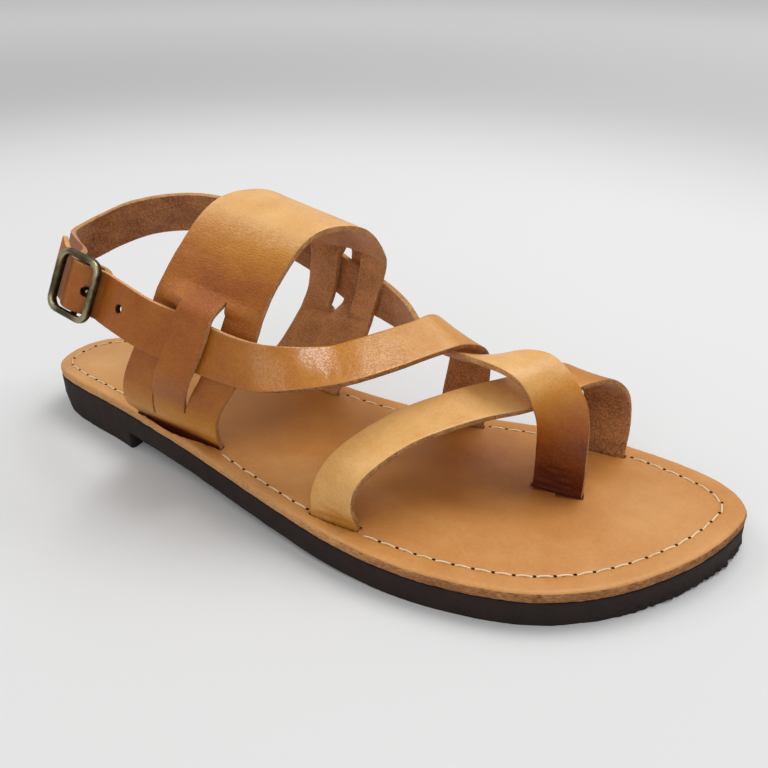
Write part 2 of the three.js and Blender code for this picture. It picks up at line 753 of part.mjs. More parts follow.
placeAtBuckle(addPiece('buckle_frame', makeBuckleFrame(), ANTIQUE_BRASS));
placeAtBuckle(addPiece('buckle_prong', makeBuckleProng(), ANTIQUE_BRASS));
placeAtBuckle(addPiece('buckle_chape', makeBuckleChape(), STRAP_LEATHER));

export default group;
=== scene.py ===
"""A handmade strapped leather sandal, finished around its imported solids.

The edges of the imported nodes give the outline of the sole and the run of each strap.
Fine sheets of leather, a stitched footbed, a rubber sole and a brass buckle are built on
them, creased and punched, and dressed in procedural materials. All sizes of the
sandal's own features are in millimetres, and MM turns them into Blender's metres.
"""

import logging
import math
from collections import defaultdict
from collections.abc import Callable, Sequence
from dataclasses import dataclass, field
from enum import Enum
from itertools import zip_longest

import bmesh
import bpy
import numpy as np
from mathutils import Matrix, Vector, noise


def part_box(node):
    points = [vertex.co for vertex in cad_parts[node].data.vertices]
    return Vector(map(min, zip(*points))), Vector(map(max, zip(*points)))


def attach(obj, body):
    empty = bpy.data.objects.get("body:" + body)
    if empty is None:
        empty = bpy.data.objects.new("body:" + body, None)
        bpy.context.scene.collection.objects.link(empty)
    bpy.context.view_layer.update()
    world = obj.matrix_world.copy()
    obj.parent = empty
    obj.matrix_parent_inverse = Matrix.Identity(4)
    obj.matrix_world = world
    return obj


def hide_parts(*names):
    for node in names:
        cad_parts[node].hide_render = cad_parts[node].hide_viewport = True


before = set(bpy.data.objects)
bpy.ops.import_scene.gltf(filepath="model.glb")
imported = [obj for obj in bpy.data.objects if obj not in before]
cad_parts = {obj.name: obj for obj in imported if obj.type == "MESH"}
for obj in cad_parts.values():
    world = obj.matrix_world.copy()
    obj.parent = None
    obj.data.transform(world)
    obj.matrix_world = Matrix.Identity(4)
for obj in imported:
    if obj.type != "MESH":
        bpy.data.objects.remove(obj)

log = logging.getLogger("sandal")

MM = 0.001
BODY = "root"
UV_NAME = "leather"
MERGE_DISTANCE = 1e-6
SHARP_TURN = math.radians(55)
STRAIGHT_ON = math.cos(math.radians(45))
EDGE_TURN = math.radians(50)
HEEL_TURN = math.radians(40)

Operand = "Channel | float | int | Sequence[float]"


class Slot(Enum):
    """Kinds of piece; hand_in takes one and does not use it."""

    FOOTBED = "footbed_leather"
    STRAP = "strap_leather"
    RUBBER = "sole_rubber"
    BRASS = "antique_brass"
    THREAD = "thread"


# ---------------------------------------------------------------- node graphs


class Channel:
    """A value on its way through a node graph; arithmetic on it adds Math nodes."""

    def __init__(self, graph: "Graph", socket: bpy.types.NodeSocket) -> None:
        """Wraps one output socket of a graph."""
        self.graph = graph
        self.socket = socket

    def _math(self, operation: str, left: Operand, right: Operand) -> "Channel":
        """Adds one Math node with two operands."""
        return self.graph.node("ShaderNodeMath", {"operation": operation}, {0: left, 1: right})

    def __add__(self, other: Operand) -> "Channel":
        """The sum."""
        return self._math("ADD", self, other)

    def __sub__(self, other: Operand) -> "Channel":
        """The difference."""
        return self._math("SUBTRACT", self, other)

    def __rsub__(self, other: Operand) -> "Channel":
        """The difference, taken from a plain number."""
        return self._math("SUBTRACT", other, self)

    def __mul__(self, other: Operand) -> "Channel":
        """The product."""
        return self._math("MULTIPLY", self, other)

    __radd__ = __add__
    __rmul__ = __mul__

    def span(self, low: float, high: float) -> "Channel":
        """Rises smoothly from 0 at low to 1 at high."""
        inputs = {"Value": self, "From Min": low, "From Max": high}
        return self.graph.node("ShaderNodeMapRange", {"interpolation_type": "SMOOTHSTEP"}, inputs)


class Graph:
    """Adds nodes to a material's or a modifier's tree."""

    def __init__(self, tree: bpy.types.NodeTree) -> None:
        """Starts with an empty tree."""
        self.tree = tree
        tree.nodes.clear()

    @staticmethod
    def _socket(sockets: bpy.types.NodeInputs, key: str | int) -> bpy.types.NodeSocket:
        """Finds a socket.

        Args:
            sockets: the node's inputs or outputs.
            key: the socket's place, its identifier or its name.

        Returns:
            The socket, by its identifier if one has it, else by its name.
        """
        if isinstance(key, int):
            return sockets[key]
        exact = [socket for socket in sockets if socket.identifier == key]
        named = [socket for socket in sockets if socket.name == key and socket.enabled]
        return (exact or named)[0]

    def feed(self, socket: bpy.types.NodeSocket, value: Operand) -> None:
        """Links a channel to an input socket, or sets a plain value on it.

        Args:
            socket: the input socket.
            value: the channel or the plain value.
        """
        if isinstance(value, Channel):
            self.tree.links.new(value.socket, socket)
        else:
            socket.default_value = value

    def node(
        self,
        kind: str,
        settings: dict | None = None,
        inputs: dict | None = None,
        output: str | int = 0,
    ) -> Channel:
        """Adds one node.

        Args:
            kind: the node's type.
            settings: its properties, set first; "stops" are the stops of a colour ramp.
            inputs: values or channels for its sockets, by place, identifier or name.
            output: the socket to go on with.

        Returns:
            The chosen output as a channel.
        """
        made = self.tree.nodes.new(kind)
        for name, value in (settings or {}).items():
            if name == "stops":
                self._set_stops(made.color_ramp, value)
            else:
                setattr(made, name, value)
        for key, value in (inputs or {}).items():
            self.feed(self._socket(made.inputs, key), value)
        return Channel(self, self._socket(made.outputs, output) if made.outputs else None)

    @staticmethod
    def _set_stops(ramp: bpy.types.ColorRamp, stops: Sequence[tuple]) -> None:
        """Gives a colour ramp its stops.

        Args:
            ramp: the ramp, with its two first stops.
            stops: a position and a colour for each stop.
        """
        while len(ramp.elements) < len(stops):
            ramp.elements.new(1.0)
        for element, (position, colour) in zip(ramp.elements, stops):
            element.position = position
            element.color = (*colour, 1.0)


class Paint(Graph):
    """The node graph of one material."""

    def __init__(self, name: str) -> None:
        """Makes an empty material.

        Args:
            name: the material's name.
        """
        self.material = bpy.data.materials.new(name)
        self.material.use_nodes = True
        super().__init__(self.material.node_tree)

    def place(self, stretch: Sequence[float] = (1, 1, 1)) -> Channel:
        """Object coordinates in millimetres, stretched along the axes."""
        coordinates = self.node("ShaderNodeTexCoord", output="Object")
        return self._scaled(coordinates, [factor / MM for factor in stretch])

    def along(self, stretch: Sequence[float] = (1, 1, 1)) -> Channel:
        """Millimetres along and across a strap, from its own UV map."""
        coordinates = self.node("ShaderNodeUVMap", {"uv_map": UV_NAME})
        return self._scaled(coordinates, [factor / MM for factor in stretch])

    def _scaled(self, vector: Channel, factors: Sequence[float]) -> Channel:
        """A vector with each part multiplied."""
        inputs = {0: vector, 1: factors}
        return self.node("ShaderNodeVectorMath", {"operation": "MULTIPLY"}, inputs)

    def noise(self, where: Channel, size: float, detail: float, rough: float) -> Channel:
        """Soft noise whose lumps are about size millimetres across."""
        inputs = {"Vector": where, "Scale": 1 / size, "Detail": detail, "Roughness": rough}
        return self.node("ShaderNodeTexNoise", {}, inputs)

    def cells(self, where: Channel, size: float, feature: str) -> Channel:
        """Distance within cells of about size millimetres."""
        inputs = {"Vector": where, "Scale": 1 / size}
        return self.node("ShaderNodeTexVoronoi", {"feature": feature}, inputs)

    def attribute(self, name: str) -> Channel:
        """A number stored on the mesh."""
        return self.node("ShaderNodeAttribute", {"attribute_name": name}, output="Fac")

    def mix(self, first: Operand, second: Operand, factor: Operand) -> Channel:
        """Blends two colours."""
        inputs = {"Factor_Float": factor, "A_Color": opaque(first), "B_Color": opaque(second)}
        return self.node("ShaderNodeMix", {"data_type": "RGBA"}, inputs, "Result_Color")

    def ramp(self, factor: Channel, stops: Sequence[tuple]) -> Channel:
        """A colour for each value of the factor."""
        return self.node("ShaderNodeValToRGB", {"stops": stops}, {"Fac": factor}, "Color")

    def bump(self, height: Channel, distance: float, below: Channel | None = None) -> Channel:
        """Bends the normal.

        Args:
            height: the height of the surface, about 0 to 1.
            distance: how high 1 stands, in millimetres.
            below: a normal that is bent already.

        Returns:
            The bent normal.
        """
        inputs = {"Height": height, "Distance": distance * MM, "Strength": 1.0}
        if below is not None:
            inputs["Normal"] = below
        return self.node("ShaderNodeBump", {}, inputs)

    def finish(self, inputs: dict) -> bpy.types.Material:
        """Ends the graph in a Principled shader.

        Args:
            inputs: values or channels for its sockets, by name.

        Returns:
            The finished material.
        """
        shader = self.node("ShaderNodeBsdfPrincipled", {}, inputs)
        self.node("ShaderNodeOutputMaterial", {}, {"Surface": shader})
        return self.material


def opaque(colour: Operand) -> Operand:
    """Adds full alpha to a plain colour and leaves a channel as it is."""
    return colour if isinstance(colour, Channel) else (*colour, 1.0)


# ---------------------------------------------------------------- finishes
#
# A noise is given as its size in millimetres, its detail and its roughness. The attributes
# tone_and_light, crease, gloss, pucker, rim and wear come from the mesh. tone_and_light is the
# leather's colour with painted light and shade, and crease darkens folds and the stitch groove
# with painted shade.


@dataclass(frozen=True)
class GrainLeather:
    """The smooth side of vegetable-tanned leather, from burnished to pale."""

    name: str = "leather_grain"
    burnt: tuple = (0.080, 0.009, 0.001)
    brown: tuple = (0.29, 0.072, 0.003)
    orange: tuple = (0.46, 0.175, 0.010)
    pale: tuple = (0.74, 0.44, 0.165)
    mottle: tuple = (14, 4, 0.6)
    cloud: tuple = (3.2, 4, 0.65)
    speck: tuple = (0.9, 4, 0.75)
    fleck: tuple = (0.9, 3, 0.7)
    fine: tuple = (0.35, 2, 0.5)
    glint: tuple = (0.7, 2, 0.6)
    pore: float = 0.75
    pucker: float = 1.0
    pucker_stretch: tuple = (1.0, 0.36, 1.0)
    roughness: float = 0.52
    grain_depth: float = 0.11
    cloud_depth: float = 0.14
    pucker_depth: float = 0.08
    mottle_tone: float = 0.28
    cloud_tone: float = 0.12
    speck_tone: float = 0.32
    fleck_span: tuple = (0.56, 0.74)
    glint_span: tuple = (0.42, 0.6)
    pucker_edge: float = 0.2
    gloss_polish: float = 0.24
    crease_roughness: float = 0.12
    crease_shade: float = 0.3
    fleck_shade: float = 0.22
    coat: float = 0.9

    def material(self) -> bpy.types.Material:
        """Builds the finish.

        Returns:
            The material.
        """
        paint = Paint(self.name)
        where = paint.place()
        mottle = paint.noise(where, *self.mottle)
        cloud = paint.noise(where, *self.cloud)
        speck = paint.noise(where, *self.speck)
        fine = paint.noise(where, *self.fine)
        crease, gloss = paint.attribute("crease"), paint.attribute("gloss")
        tone_and_light = paint.attribute("tone_and_light") + (mottle - 0.5) * self.mottle_tone
        tone_and_light = tone_and_light + (cloud - 0.5) * self.cloud_tone + (speck - 0.5) * self.speck_tone
        stops = [(0.0, self.burnt), (0.32, self.brown), (0.62, self.orange), (1.0, self.pale)]
        flecks = paint.noise(where, *self.fleck).span(*self.fleck_span)
        colour = paint.mix(paint.ramp(tone_and_light, stops), self.brown, flecks * self.fleck_shade)
        # Creases take on the burnt colour: painted shade in the folds.
        colour = paint.mix(colour, self.burnt, crease * self.crease_shade)
        roughness = self.roughness + (mottle - 0.5) * 0.2 + (fine - 0.5) * 0.12
        grain = paint.cells(where, self.pore, "SMOOTH_F1")
        puckers = paint.cells(paint.along(self.pucker_stretch), self.pucker, "DISTANCE_TO_EDGE")
        puckers = puckers.span(0.0, self.pucker_edge) * paint.attribute("pucker")
        normal = paint.bump(grain * 0.5 + fine * 0.5, self.grain_depth)
        normal = paint.bump(puckers, self.pucker_depth, paint.bump(cloud, self.cloud_depth, normal))
        sparkle = paint.noise(where, *self.glint).span(*self.glint_span)
        return paint.finish({
            "Base Color": colour,
            "Roughness": roughness - gloss * self.gloss_polish + crease * self.crease_roughness,
            "Normal": normal,
            "Specular IOR Level": 0.36,
            "Coat Weight": gloss * gloss * sparkle * self.coat,
            "Coat Roughness": 0.2,
        })


@dataclass(frozen=True)
class FleshLeather:
    """The rough underside of the leather."""

    name: str = "leather_flesh"
    dark: tuple = (0.13, 0.036, 0.010)
    light: tuple = (0.74, 0.34, 0.12)
    cloud: tuple = (9, 4, 0.6)
    nap: tuple = (0.7, 4, 0.75)
    drawn: tuple = (0.6, 3, 0.7)
    drawn_stretch: tuple = (0.35, 1.0, 1.0)
    nap_depth: float = 0.22

    def material(self) -> bpy.types.Material:
        """Builds the finish.

        Returns:
            The material.
        """
        paint = Paint(self.name)
        where = paint.place()
        cloud = paint.noise(where, *self.cloud)
        nap = paint.noise(where, *self.nap)
        drawn = paint.noise(paint.along(self.drawn_stretch), *self.drawn)
        shade = cloud * 0.3 + nap * 0.7 + (paint.attribute("tone_and_light") - 0.5) * 0.3
        return paint.finish({
            "Base Color": paint.mix(self.dark, self.light, shade.span(0.25, 0.8)),
            "Roughness": 0.92,
            "Normal": paint.bump(nap * 0.6 + drawn * 0.4, self.nap_depth),
            "Sheen Weight": 0.25,
            "Sheen Roughness": 0.5,
            "Specular IOR Level": 0.2,
        })


@dataclass(frozen=True)
class CutLeather:
    """A cut edge: fibres in layers, burnished dark or left pale, as the rim says."""

    name: str = "leather_cut"
    dark: tuple = (0.15, 0.050, 0.016)
    pale: tuple = (0.68, 0.36, 0.145)
    fibres: tuple = (0.6, 4, 0.8)
    stretch: tuple = (1, 1, 1)
    patch: tuple = (5, 3, 0.6)
    contrast: float = 1.6
    fibre_depth: float = 0.25
    roughness: float = 0.85
    specular: float = 0.25

    def material(self) -> bpy.types.Material:
        """Builds the finish.

        Returns:
            The material.
        """
        paint = Paint(self.name)
        fibres = paint.noise(paint.place(self.stretch), *self.fibres)
        patch = paint.noise(paint.place(), *self.patch)
        shade = paint.attribute("rim") + (fibres - 0.5) * self.contrast + (patch - 0.5) * 0.5
        return paint.finish({
            "Base Color": paint.mix(self.dark, self.pale, shade.span(0.0, 1.0)),
            "Roughness": self.roughness,
            "Normal": paint.bump(fibres, self.fibre_depth),
            "Specular IOR Level": self.specular,
        })


@dataclass(frozen=True)
class RawEdge(CutLeather):
    """The footbed's trimmed side: rougher than a strap's edge, with level fibres."""

    name: str = "leather_raw_edge"
    dark: tuple = (0.13, 0.042, 0.014)
    pale: tuple = (0.62, 0.31, 0.12)
    fibres: tuple = (0.9, 5, 0.75)
    stretch: tuple = (0.5, 0.5, 2.2)
    patch: tuple = (6, 4, 0.65)
    contrast: float = 1.5
    fibre_depth: float = 0.35
    roughness: float = 0.88
    specular: float = 0.2


@dataclass(frozen=True)
class FootbedLeather:
    """The footbed's top: waxed tan leather with burnished and worn places."""

    name: str = "leather_footbed"
    burnt: tuple = (0.20, 0.050, 0.007)
    tan: tuple = (0.46, 0.190, 0.040)
    pale: tuple = (0.64, 0.345, 0.130)
    cloud: tuple = (38, 4, 0.55)
    mottle: tuple = (7, 5, 0.62)
    speck: tuple = (1.3, 4, 0.75)
    fleck: tuple = (1.1, 4, 0.75)
    hair: tuple = (0.9, 4, 0.7)
    hair_stretch: tuple = (0.16, 1.0, 1.0)
    cloud_tone: float = 0.42
    mottle_tone: float = 0.22
    speck_tone: float = 0.22
    fleck_span: tuple = (0.6, 0.78)
    fleck_shade: float = 0.2
    dirt_and_shade: float = 0.5
    pore: float = 0.6
    pore_depth: float = 0.05
    mottle_depth: float = 0.12

    def material(self) -> bpy.types.Material:
        """Builds the finish.

        Returns:
            The material.
        """
        paint = Paint(self.name)
        where = paint.place()
        mottle = paint.noise(where, *self.mottle)
        cloud, speck = paint.noise(where, *self.cloud), paint.noise(where, *self.speck)
        tone_and_light = paint.attribute("tone_and_light") + (cloud - 0.5) * self.cloud_tone
        tone_and_light = tone_and_light + (mottle - 0.5) * self.mottle_tone + (speck - 0.5) * self.speck_tone
        colour = paint.ramp(tone_and_light, [(0.0, self.burnt), (0.6, self.tan), (1.0, self.pale)])
        flecks = paint.noise(where, *self.fleck).span(*self.fleck_span)
        colour = paint.mix(colour, self.burnt, flecks * self.fleck_shade)
        hair = paint.noise(paint.place(self.hair_stretch), *self.hair)
        grain = paint.cells(where, self.pore, "SMOOTH_F1") * 0.5 + hair * 0.5
        return paint.finish({
            # The crease attribute darkens the stitch groove: painted shade.
            "Base Color": paint.mix(colour, self.burnt, paint.attribute("crease") * self.dirt_and_shade),
            "Roughness": 0.5 + (mottle - 0.5) * 0.22 + (hair - 0.5) * 0.12,
            "Normal": paint.bump(mottle, self.mottle_depth, paint.bump(grain, self.pore_depth)),
            "Specular IOR Level": 0.3,
            "Coat Weight": 0.05,
            "Coat Roughness": 0.35,
        })


@dataclass(frozen=True)
class SoleRubber:
    """Dark brown rubber, trimmed by hand."""

    name: str = "rubber"
    dark: tuple = (0.010, 0.0055, 0.0045)
    light: tuple = (0.030, 0.015, 0.012)
    patch: tuple = (8, 4, 0.6)
    grit: tuple = (0.6, 4, 0.75)
    drawn: tuple = (1.2, 3, 0.6)
    drawn_stretch: tuple = (0.25, 0.25, 1.6)
    grit_depth: float = 0.22

    def material(self) -> bpy.types.Material:
        """Builds the finish.

        Returns:
            The material.
        """
        paint = Paint(self.name)
        where = paint.place()
        patch = paint.noise(where, *self.patch)
        grit = paint.noise(where, *self.grit)
        drawn = paint.noise(paint.place(self.drawn_stretch), *self.drawn)
        shade = (patch * 0.5 + grit * 0.5).span(0.3, 0.75)
        return paint.finish({
            "Base Color": paint.mix(self.dark, self.light, shade),
            "Roughness": 0.74 + (patch - 0.5) * 0.2,
            "Normal": paint.bump(grit * 0.6 + drawn * 0.4, self.grit_depth),
            "Specular IOR Level": 0.25,
        })


@dataclass(frozen=True)
class AntiqueBrass:
    """Cast brass with a dark patina, rubbed bright where the attribute wear says."""

    name: str = "brass_antique"
    patina: tuple = (0.026, 0.022, 0.013)
    olive: tuple = (0.105, 0.088, 0.046)
    bright: tuple = (0.50, 0.43, 0.26)
    cloud: tuple = (3.5, 4, 0.6)
    pits: tuple = (0.5, 3, 0.7)
    pit_depth: float = 0.09

    def material(self) -> bpy.types.Material:
        """Builds the finish.

        Returns:
            The material.
        """
        paint = Paint(self.name)
        where = paint.place()
        cloud = paint.noise(where, *self.cloud)
        pits = paint.noise(where, *self.pits)
        wear = paint.attribute("wear")
        rubbed = (wear + (cloud - 0.5) * 0.7).span(0.5, 1.1)
        colour = paint.mix(self.patina, self.olive, (cloud + wear * 0.3).span(0.35, 0.8))
        return paint.finish({
            "Base Color": paint.mix(colour, self.bright, rubbed * 0.75),
            "Metallic": 0.92,
            "Roughness": 0.46 + (pits - 0.5) * 0.25 - rubbed * 0.14,
            "Normal": paint.bump(pits * 0.4 + cloud * 0.6, self.pit_depth),
        })


@dataclass(frozen=True)
class WaxedThread:
    """Cream thread of a few twisted strands."""

    name: str = "thread_waxed"
    light: tuple = (0.72, 0.57, 0.35)
    dark: tuple = (0.42, 0.28, 0.14)
    strands: tuple = (0.35, 2, 0.5)
    dirt_and_shade: tuple = (9, 3, 0.6)
    strand_depth: float = 0.12

    def material(self) -> bpy.types.Material:
        """Builds the finish.

        Returns:
            The material.
        """
        paint = Paint(self.name)
        where = paint.place()
        strands = paint.noise(where, *self.strands)
        shade = (strands * 0.5 + paint.noise(where, *self.dirt_and_shade) * 0.6).span(0.25, 0.62)
        return paint.finish({
            "Base Color": paint.mix(self.dark, self.light, shade),
            "Roughness": 0.7,
            "Normal": paint.bump(strands, self.strand_depth),
            "Sheen Weight": 0.2,
        })


@dataclass(frozen=True)
class HoleShade:
    """Painted shade for the inside of needle holes, slots and punched holes."""

    name: str = "painted_hole_shade"
    dark: tuple = (0.018, 0.007, 0.003)
    light: tuple = (0.06, 0.024, 0.010)
    fibres: tuple = (0.7, 3, 0.7)
    fibre_depth: float = 0.15

    def material(self) -> bpy.types.Material:
        """Builds the finish.

        Returns:
            The material.
        """
        paint = Paint(self.name)
        fibres = paint.noise(paint.place(), *self.fibres)
        return paint.finish({
            "Base Color": paint.mix(self.dark, self.light, fibres.span(0.3, 0.8)),
            "Roughness": 0.95,
            "Normal": paint.bump(fibres, self.fibre_depth),
            "Specular IOR Level": 0.1,
        })


@dataclass(frozen=True)
class StudioFloor:
    """A pale matt floor: painted shade some way off from the sandal, painted light far off.

    It dims and clears between two distances from the origin, in millimetres.
    """

    name: str = "floor"
    shade: tuple = (0.62, 0.62, 0.62)
    dim: tuple = (0.48, 0.48, 0.48)
    far: tuple = (0.82, 0.82, 0.82)
    dims: tuple = (360, 740)
    clears: tuple = (720, 1700)

    def material(self) -> bpy.types.Material:
        """Builds the finish.

        Returns:
            The material.
        """
        paint = Paint(self.name)
        place = {0: paint.place()}
        distance = paint.node("ShaderNodeVectorMath", {"operation": "LENGTH"}, place, "Value")
        # The floor's painted shade and painted light, by distance from the origin.
        colour = paint.mix(self.shade, self.dim, distance.span(*self.dims))
        colour = paint.mix(colour, self.far, distance.span(*self.clears))
        return paint.finish({"Base Color": colour, "Roughness": 0.9, "Specular IOR Level": 0.1})


class Wardrobe:
    """All finishes of the sandal, built once."""

    def __init__(self) -> None:
        """Builds the materials."""
        self.grain = GrainLeather().material()
        self.flesh = FleshLeather().material()
        self.cut = CutLeather().material()
        self.footbed = FootbedLeather().material()
        self.raw_edge = RawEdge().material()
        self.rubber = SoleRubber().material()
        self.brass = AntiqueBrass().material()
        self.thread = WaxedThread().material()
        self.hole_shade = HoleShade().material()
        self.floor = StudioFloor().material()


# ---------------------------------------------------------------- meshes


def make_mesh_object(
    name: str,
    points: np.ndarray,
    faces: Sequence[Sequence[int]],
    materials: Sequence[bpy.types.Material],
    edges: Sequence[tuple[int, int]] = (),
) -> bpy.types.Object:
    """Makes a smooth-shaded object at the origin.

    Args:
        name: the piece's name.
        points: its vertices in millimetres.
        faces: its faces, facing outwards.
        materials: its material slots.
        edges: loose edges, for a path.

    Returns:
        The new object, linked to the scene.
    """
    mesh = bpy.data.meshes.new(name)
    mesh.from_pydata((np.asarray(points) * MM).tolist(), edges, faces)
    for material in materials:
        mesh.materials.append(material)
    mesh.polygons.foreach_set("use_smooth", np.ones(len(mesh.polygons), bool))
    mesh.update()
    made = bpy.data.objects.new(name, mesh)
    bpy.context.scene.collection.objects.link(made)
    return made


def set_attribute(piece: bpy.types.Object, name: str, values: np.ndarray) -> None:
    """Stores one number for each vertex."""
    stored = piece.data.attributes.new(name, "FLOAT", "POINT")
    stored.data.foreach_set("value", np.asarray(values, np.float32).ravel())


def set_uv(piece: bpy.types.Object, uv: np.ndarray) -> None:
    """Gives the mesh its UV map.

    Args:
        piece: the object.
        uv: a pair of millimetres for each vertex.
    """
    layer = piece.data.uv_layers.new(name=UV_NAME)
    corners = np.empty(len(piece.data.loops), np.int32)
    piece.data.loops.foreach_get("vertex_index", corners)
    layer.data.foreach_set("uv", (uv[corners] * MM).astype(np.float32).ravel())


def settle(piece: bpy.types.Object) -> bpy.types.Object:
    """Turns an object's modifiers into plain mesh.

    Args:
        piece: the object.

    Returns:
        The same object, with no modifiers.
    """
    graph = bpy.context.evaluated_depsgraph_get()
    mesh = bpy.data.meshes.new_from_object(
        piece.evaluated_get(graph), preserve_all_data_layers=True, depsgraph=graph
    )
    piece.modifiers.clear()
    piece.data = mesh
    mesh.polygons.foreach_set("use_smooth", np.ones(len(mesh.polygons), bool))
    return piece


def carve(piece: bpy.types.Object, cutter: bpy.types.Object) -> None:
    """Cuts one object out of another.

    Args:
        piece: the object that is cut.
        cutter: the tool, which gives the cut its material and is removed.
    """
    modifier = piece.modifiers.new("carve", "BOOLEAN")
    modifier.operation = "DIFFERENCE"
    modifier.solver = "EXACT"
    modifier.material_mode = "TRANSFER"
    modifier.object = cutter
    settle(piece)
    bpy.data.objects.remove(cutter)


def face_outwards(piece: bpy.types.Object) -> None:
    """Points the faces of a closed mesh outwards.

    Args:
        piece: the object.
    """
    solid = bmesh.new()
    solid.from_mesh(piece.data)
    bmesh.ops.recalc_face_normals(solid, faces=solid.faces[:])
    solid.to_mesh(piece.data)
    solid.free()


def hand_in(piece: bpy.types.Object, slot: Slot, *nodes: str) -> None:
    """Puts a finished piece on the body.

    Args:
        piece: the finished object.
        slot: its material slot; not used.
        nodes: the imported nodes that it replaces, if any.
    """
    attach(piece, BODY)
    if nodes:
        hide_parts(*nodes)
    log.info("%s: %d faces", piece.name, len(piece.data.polygons))


def tube(
    rows: int, count: int, first: int = 0, ring: bool = False, capped: bool = True
) -> list[tuple[int, ...]]:
    """Joins closed rows of points into a tube.

    Args:
        rows: number of rows.
        count: points in each row.
        first: index of the first point.
        ring: whether the last row joins the first.
        capped: whether a tube that isn't a ring is closed at its ends.

    Returns:
        The faces.
    """
    faces = [
        (
            first + row * count + k,
            first + row * count + (k + 1) % count,
            first + (row + 1) % rows * count + (k + 1) % count,
            first + (row + 1) % rows * count + k,
        )
        for row in range(rows if ring else rows - 1)
        for k in range(count)
    ]
    if capped and not ring:
        end = first + (rows - 1) * count
        faces.append(tuple(first + k for k in reversed(range(count))))
        faces.append(tuple(end + k for k in range(count)))
    return faces


def sharp_chains(node: str) -> list[np.ndarray]:
    """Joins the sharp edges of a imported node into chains, each as straight on as it goes.

    Args:
        node: the node's name.

    Returns:
        The chains' points in millimetres; a closed chain ends on its first point.
    """
    solid = bmesh.new()
    solid.from_mesh(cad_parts[node].data)
    bmesh.ops.remove_doubles(solid, verts=solid.verts[:], dist=MERGE_DISTANCE)
    solid.verts.index_update()
    places = [vertex.co / MM for vertex in solid.verts]
    sharp = [
        tuple(vertex.index for vertex in edge.verts)
        for edge in solid.edges
        if len(edge.link_faces) == 2 and edge.calc_face_angle() > SHARP_TURN
    ]
    solid.free()
    near = defaultdict(list)
    for first, second in sharp:
        near[first].append(second)
        near[second].append(first)
    used: set[frozenset] = set()

    def extend(chain: list[int]) -> None:
        """Goes on from the chain's last point while an unused edge leads on.

        Args:
            chain: indices of its points, which grows at its end.
        """
        while True:
            ahead = (places[chain[-1]] - places[chain[-2]]).normalized()
            turns = [
                (ahead @ (places[index] - places[chain[-1]]).normalized(), index)
                for index in near[chain[-1]]
                if frozenset((chain[-1], index)) not in used
            ]
            if not turns or max(turns)[0] < STRAIGHT_ON:
                return
            used.add(frozenset((chain[-1], max(turns)[1])))
            chain.append(max(turns)[1])

    chains = []
    for edge in sharp:
        if frozenset(edge) not in used:
            used.add(frozenset(edge))
            chain = list(edge)
            extend(chain)
            chain.reverse()
            extend(chain)
            chains.append(np.array([places[index] for index in chain]))
    return chains


def run_length(points: np.ndarray) -> np.ndarray:
    """Distance along a chain of points, at each point."""
    steps = np.linalg.norm(np.diff(points, axis=0), axis=1)
    return np.concatenate([[0.0], np.cumsum(steps)])


def follow(knots: np.ndarray, at: np.ndarray, where: np.ndarray) -> tuple[np.ndarray, np.ndarray]:
    """Follows a smooth curve through knots.

    Args:
        knots: the points that the curve passes.
        at: the distance at each knot.
        where: the distances to find.

    Returns:
        The points there, and the directions.
    """
    slopes = np.empty_like(knots)
    slopes[1:-1] = (knots[2:] - knots[:-2]) / (at[2:] - at[:-2])[:, None]
    slopes[0] = (knots[1] - knots[0]) / (at[1] - at[0])
    slopes[-1] = (knots[-1] - knots[-2]) / (at[-1] - at[-2])
    i = np.clip(np.searchsorted(at, where, side="right") - 1, 0, len(at) - 2)
    gap = (at[i + 1] - at[i])[:, None]
    t = ((where - at[i]) / (at[i + 1] - at[i]))[:, None]
    point = (
        knots[i] * (1 + t * t * (2 * t - 3))
        + knots[i + 1] * (t * t * (3 - 2 * t))
        + slopes[i] * gap * (t * (1 - t) ** 2)
        + slopes[i + 1] * gap * (t * t * (t - 1))
    )
    slope = (
        (knots[i + 1] - knots[i]) / gap * (6 * t * (1 - t))
        + slopes[i] * ((1 - t) * (1 - 3 * t))
        + slopes[i + 1] * (t * (3 * t - 2))
    )
    return point, slope


def distance_to(line: np.ndarray, points: np.ndarray) -> np.ndarray:
    """Distance of each point to the nearest point of a line, seen from above."""
    away = points[:, None, :2] - line[None, :, :2]
    return np.sqrt((away**2).sum(2).min(1))


def smooth(value: np.ndarray) -> np.ndarray:
    """Rises smoothly from 0 to 1."""
    t = np.clip(value, 0, 1)
    return t * t * (3 - 2 * t)


def unit(vectors: np.ndarray) -> np.ndarray:
    """Vectors of length 1."""
    return vectors / np.linalg.norm(vectors, axis=-1, keepdims=True)


def ripple(points: np.ndarray, size: float) -> np.ndarray:
    """Repeatable noise from -1 to 1 at each point, with lumps of size millimetres."""
    return np.array([noise.noise(Vector(point) / size) for point in points.reshape(-1, 3)])


# ---------------------------------------------------------------- upper


@dataclass(frozen=True)
class Fold:
    """One soft trough in the leather, or a ridge where its depth is negative.

    It lies at a distance along the strap and a share across it, turned by some degrees.
    """

    along: float
    across: float
    turn: float
    length: float
    width: float
    depth: float

    def shape(self, s: np.ndarray, y: np.ndarray, width: float) -> np.ndarray:
        """How much of the fold there is at each point.

        Args:
            s: distances along the strap.
            y: distances across it.
            width: the strap's width.

        Returns:
            Shares from 0 to 1.
        """
        turn = math.radians(self.turn)
        ds, dy = s - self.along, y - self.across * width
        aside = ds * math.cos(turn) - dy * math.sin(turn)
        ahead = ds * math.sin(turn) + dy * math.cos(turn)
        return np.exp(-((aside / self.width) ** 2) - (2 * ahead / self.length) ** 4)


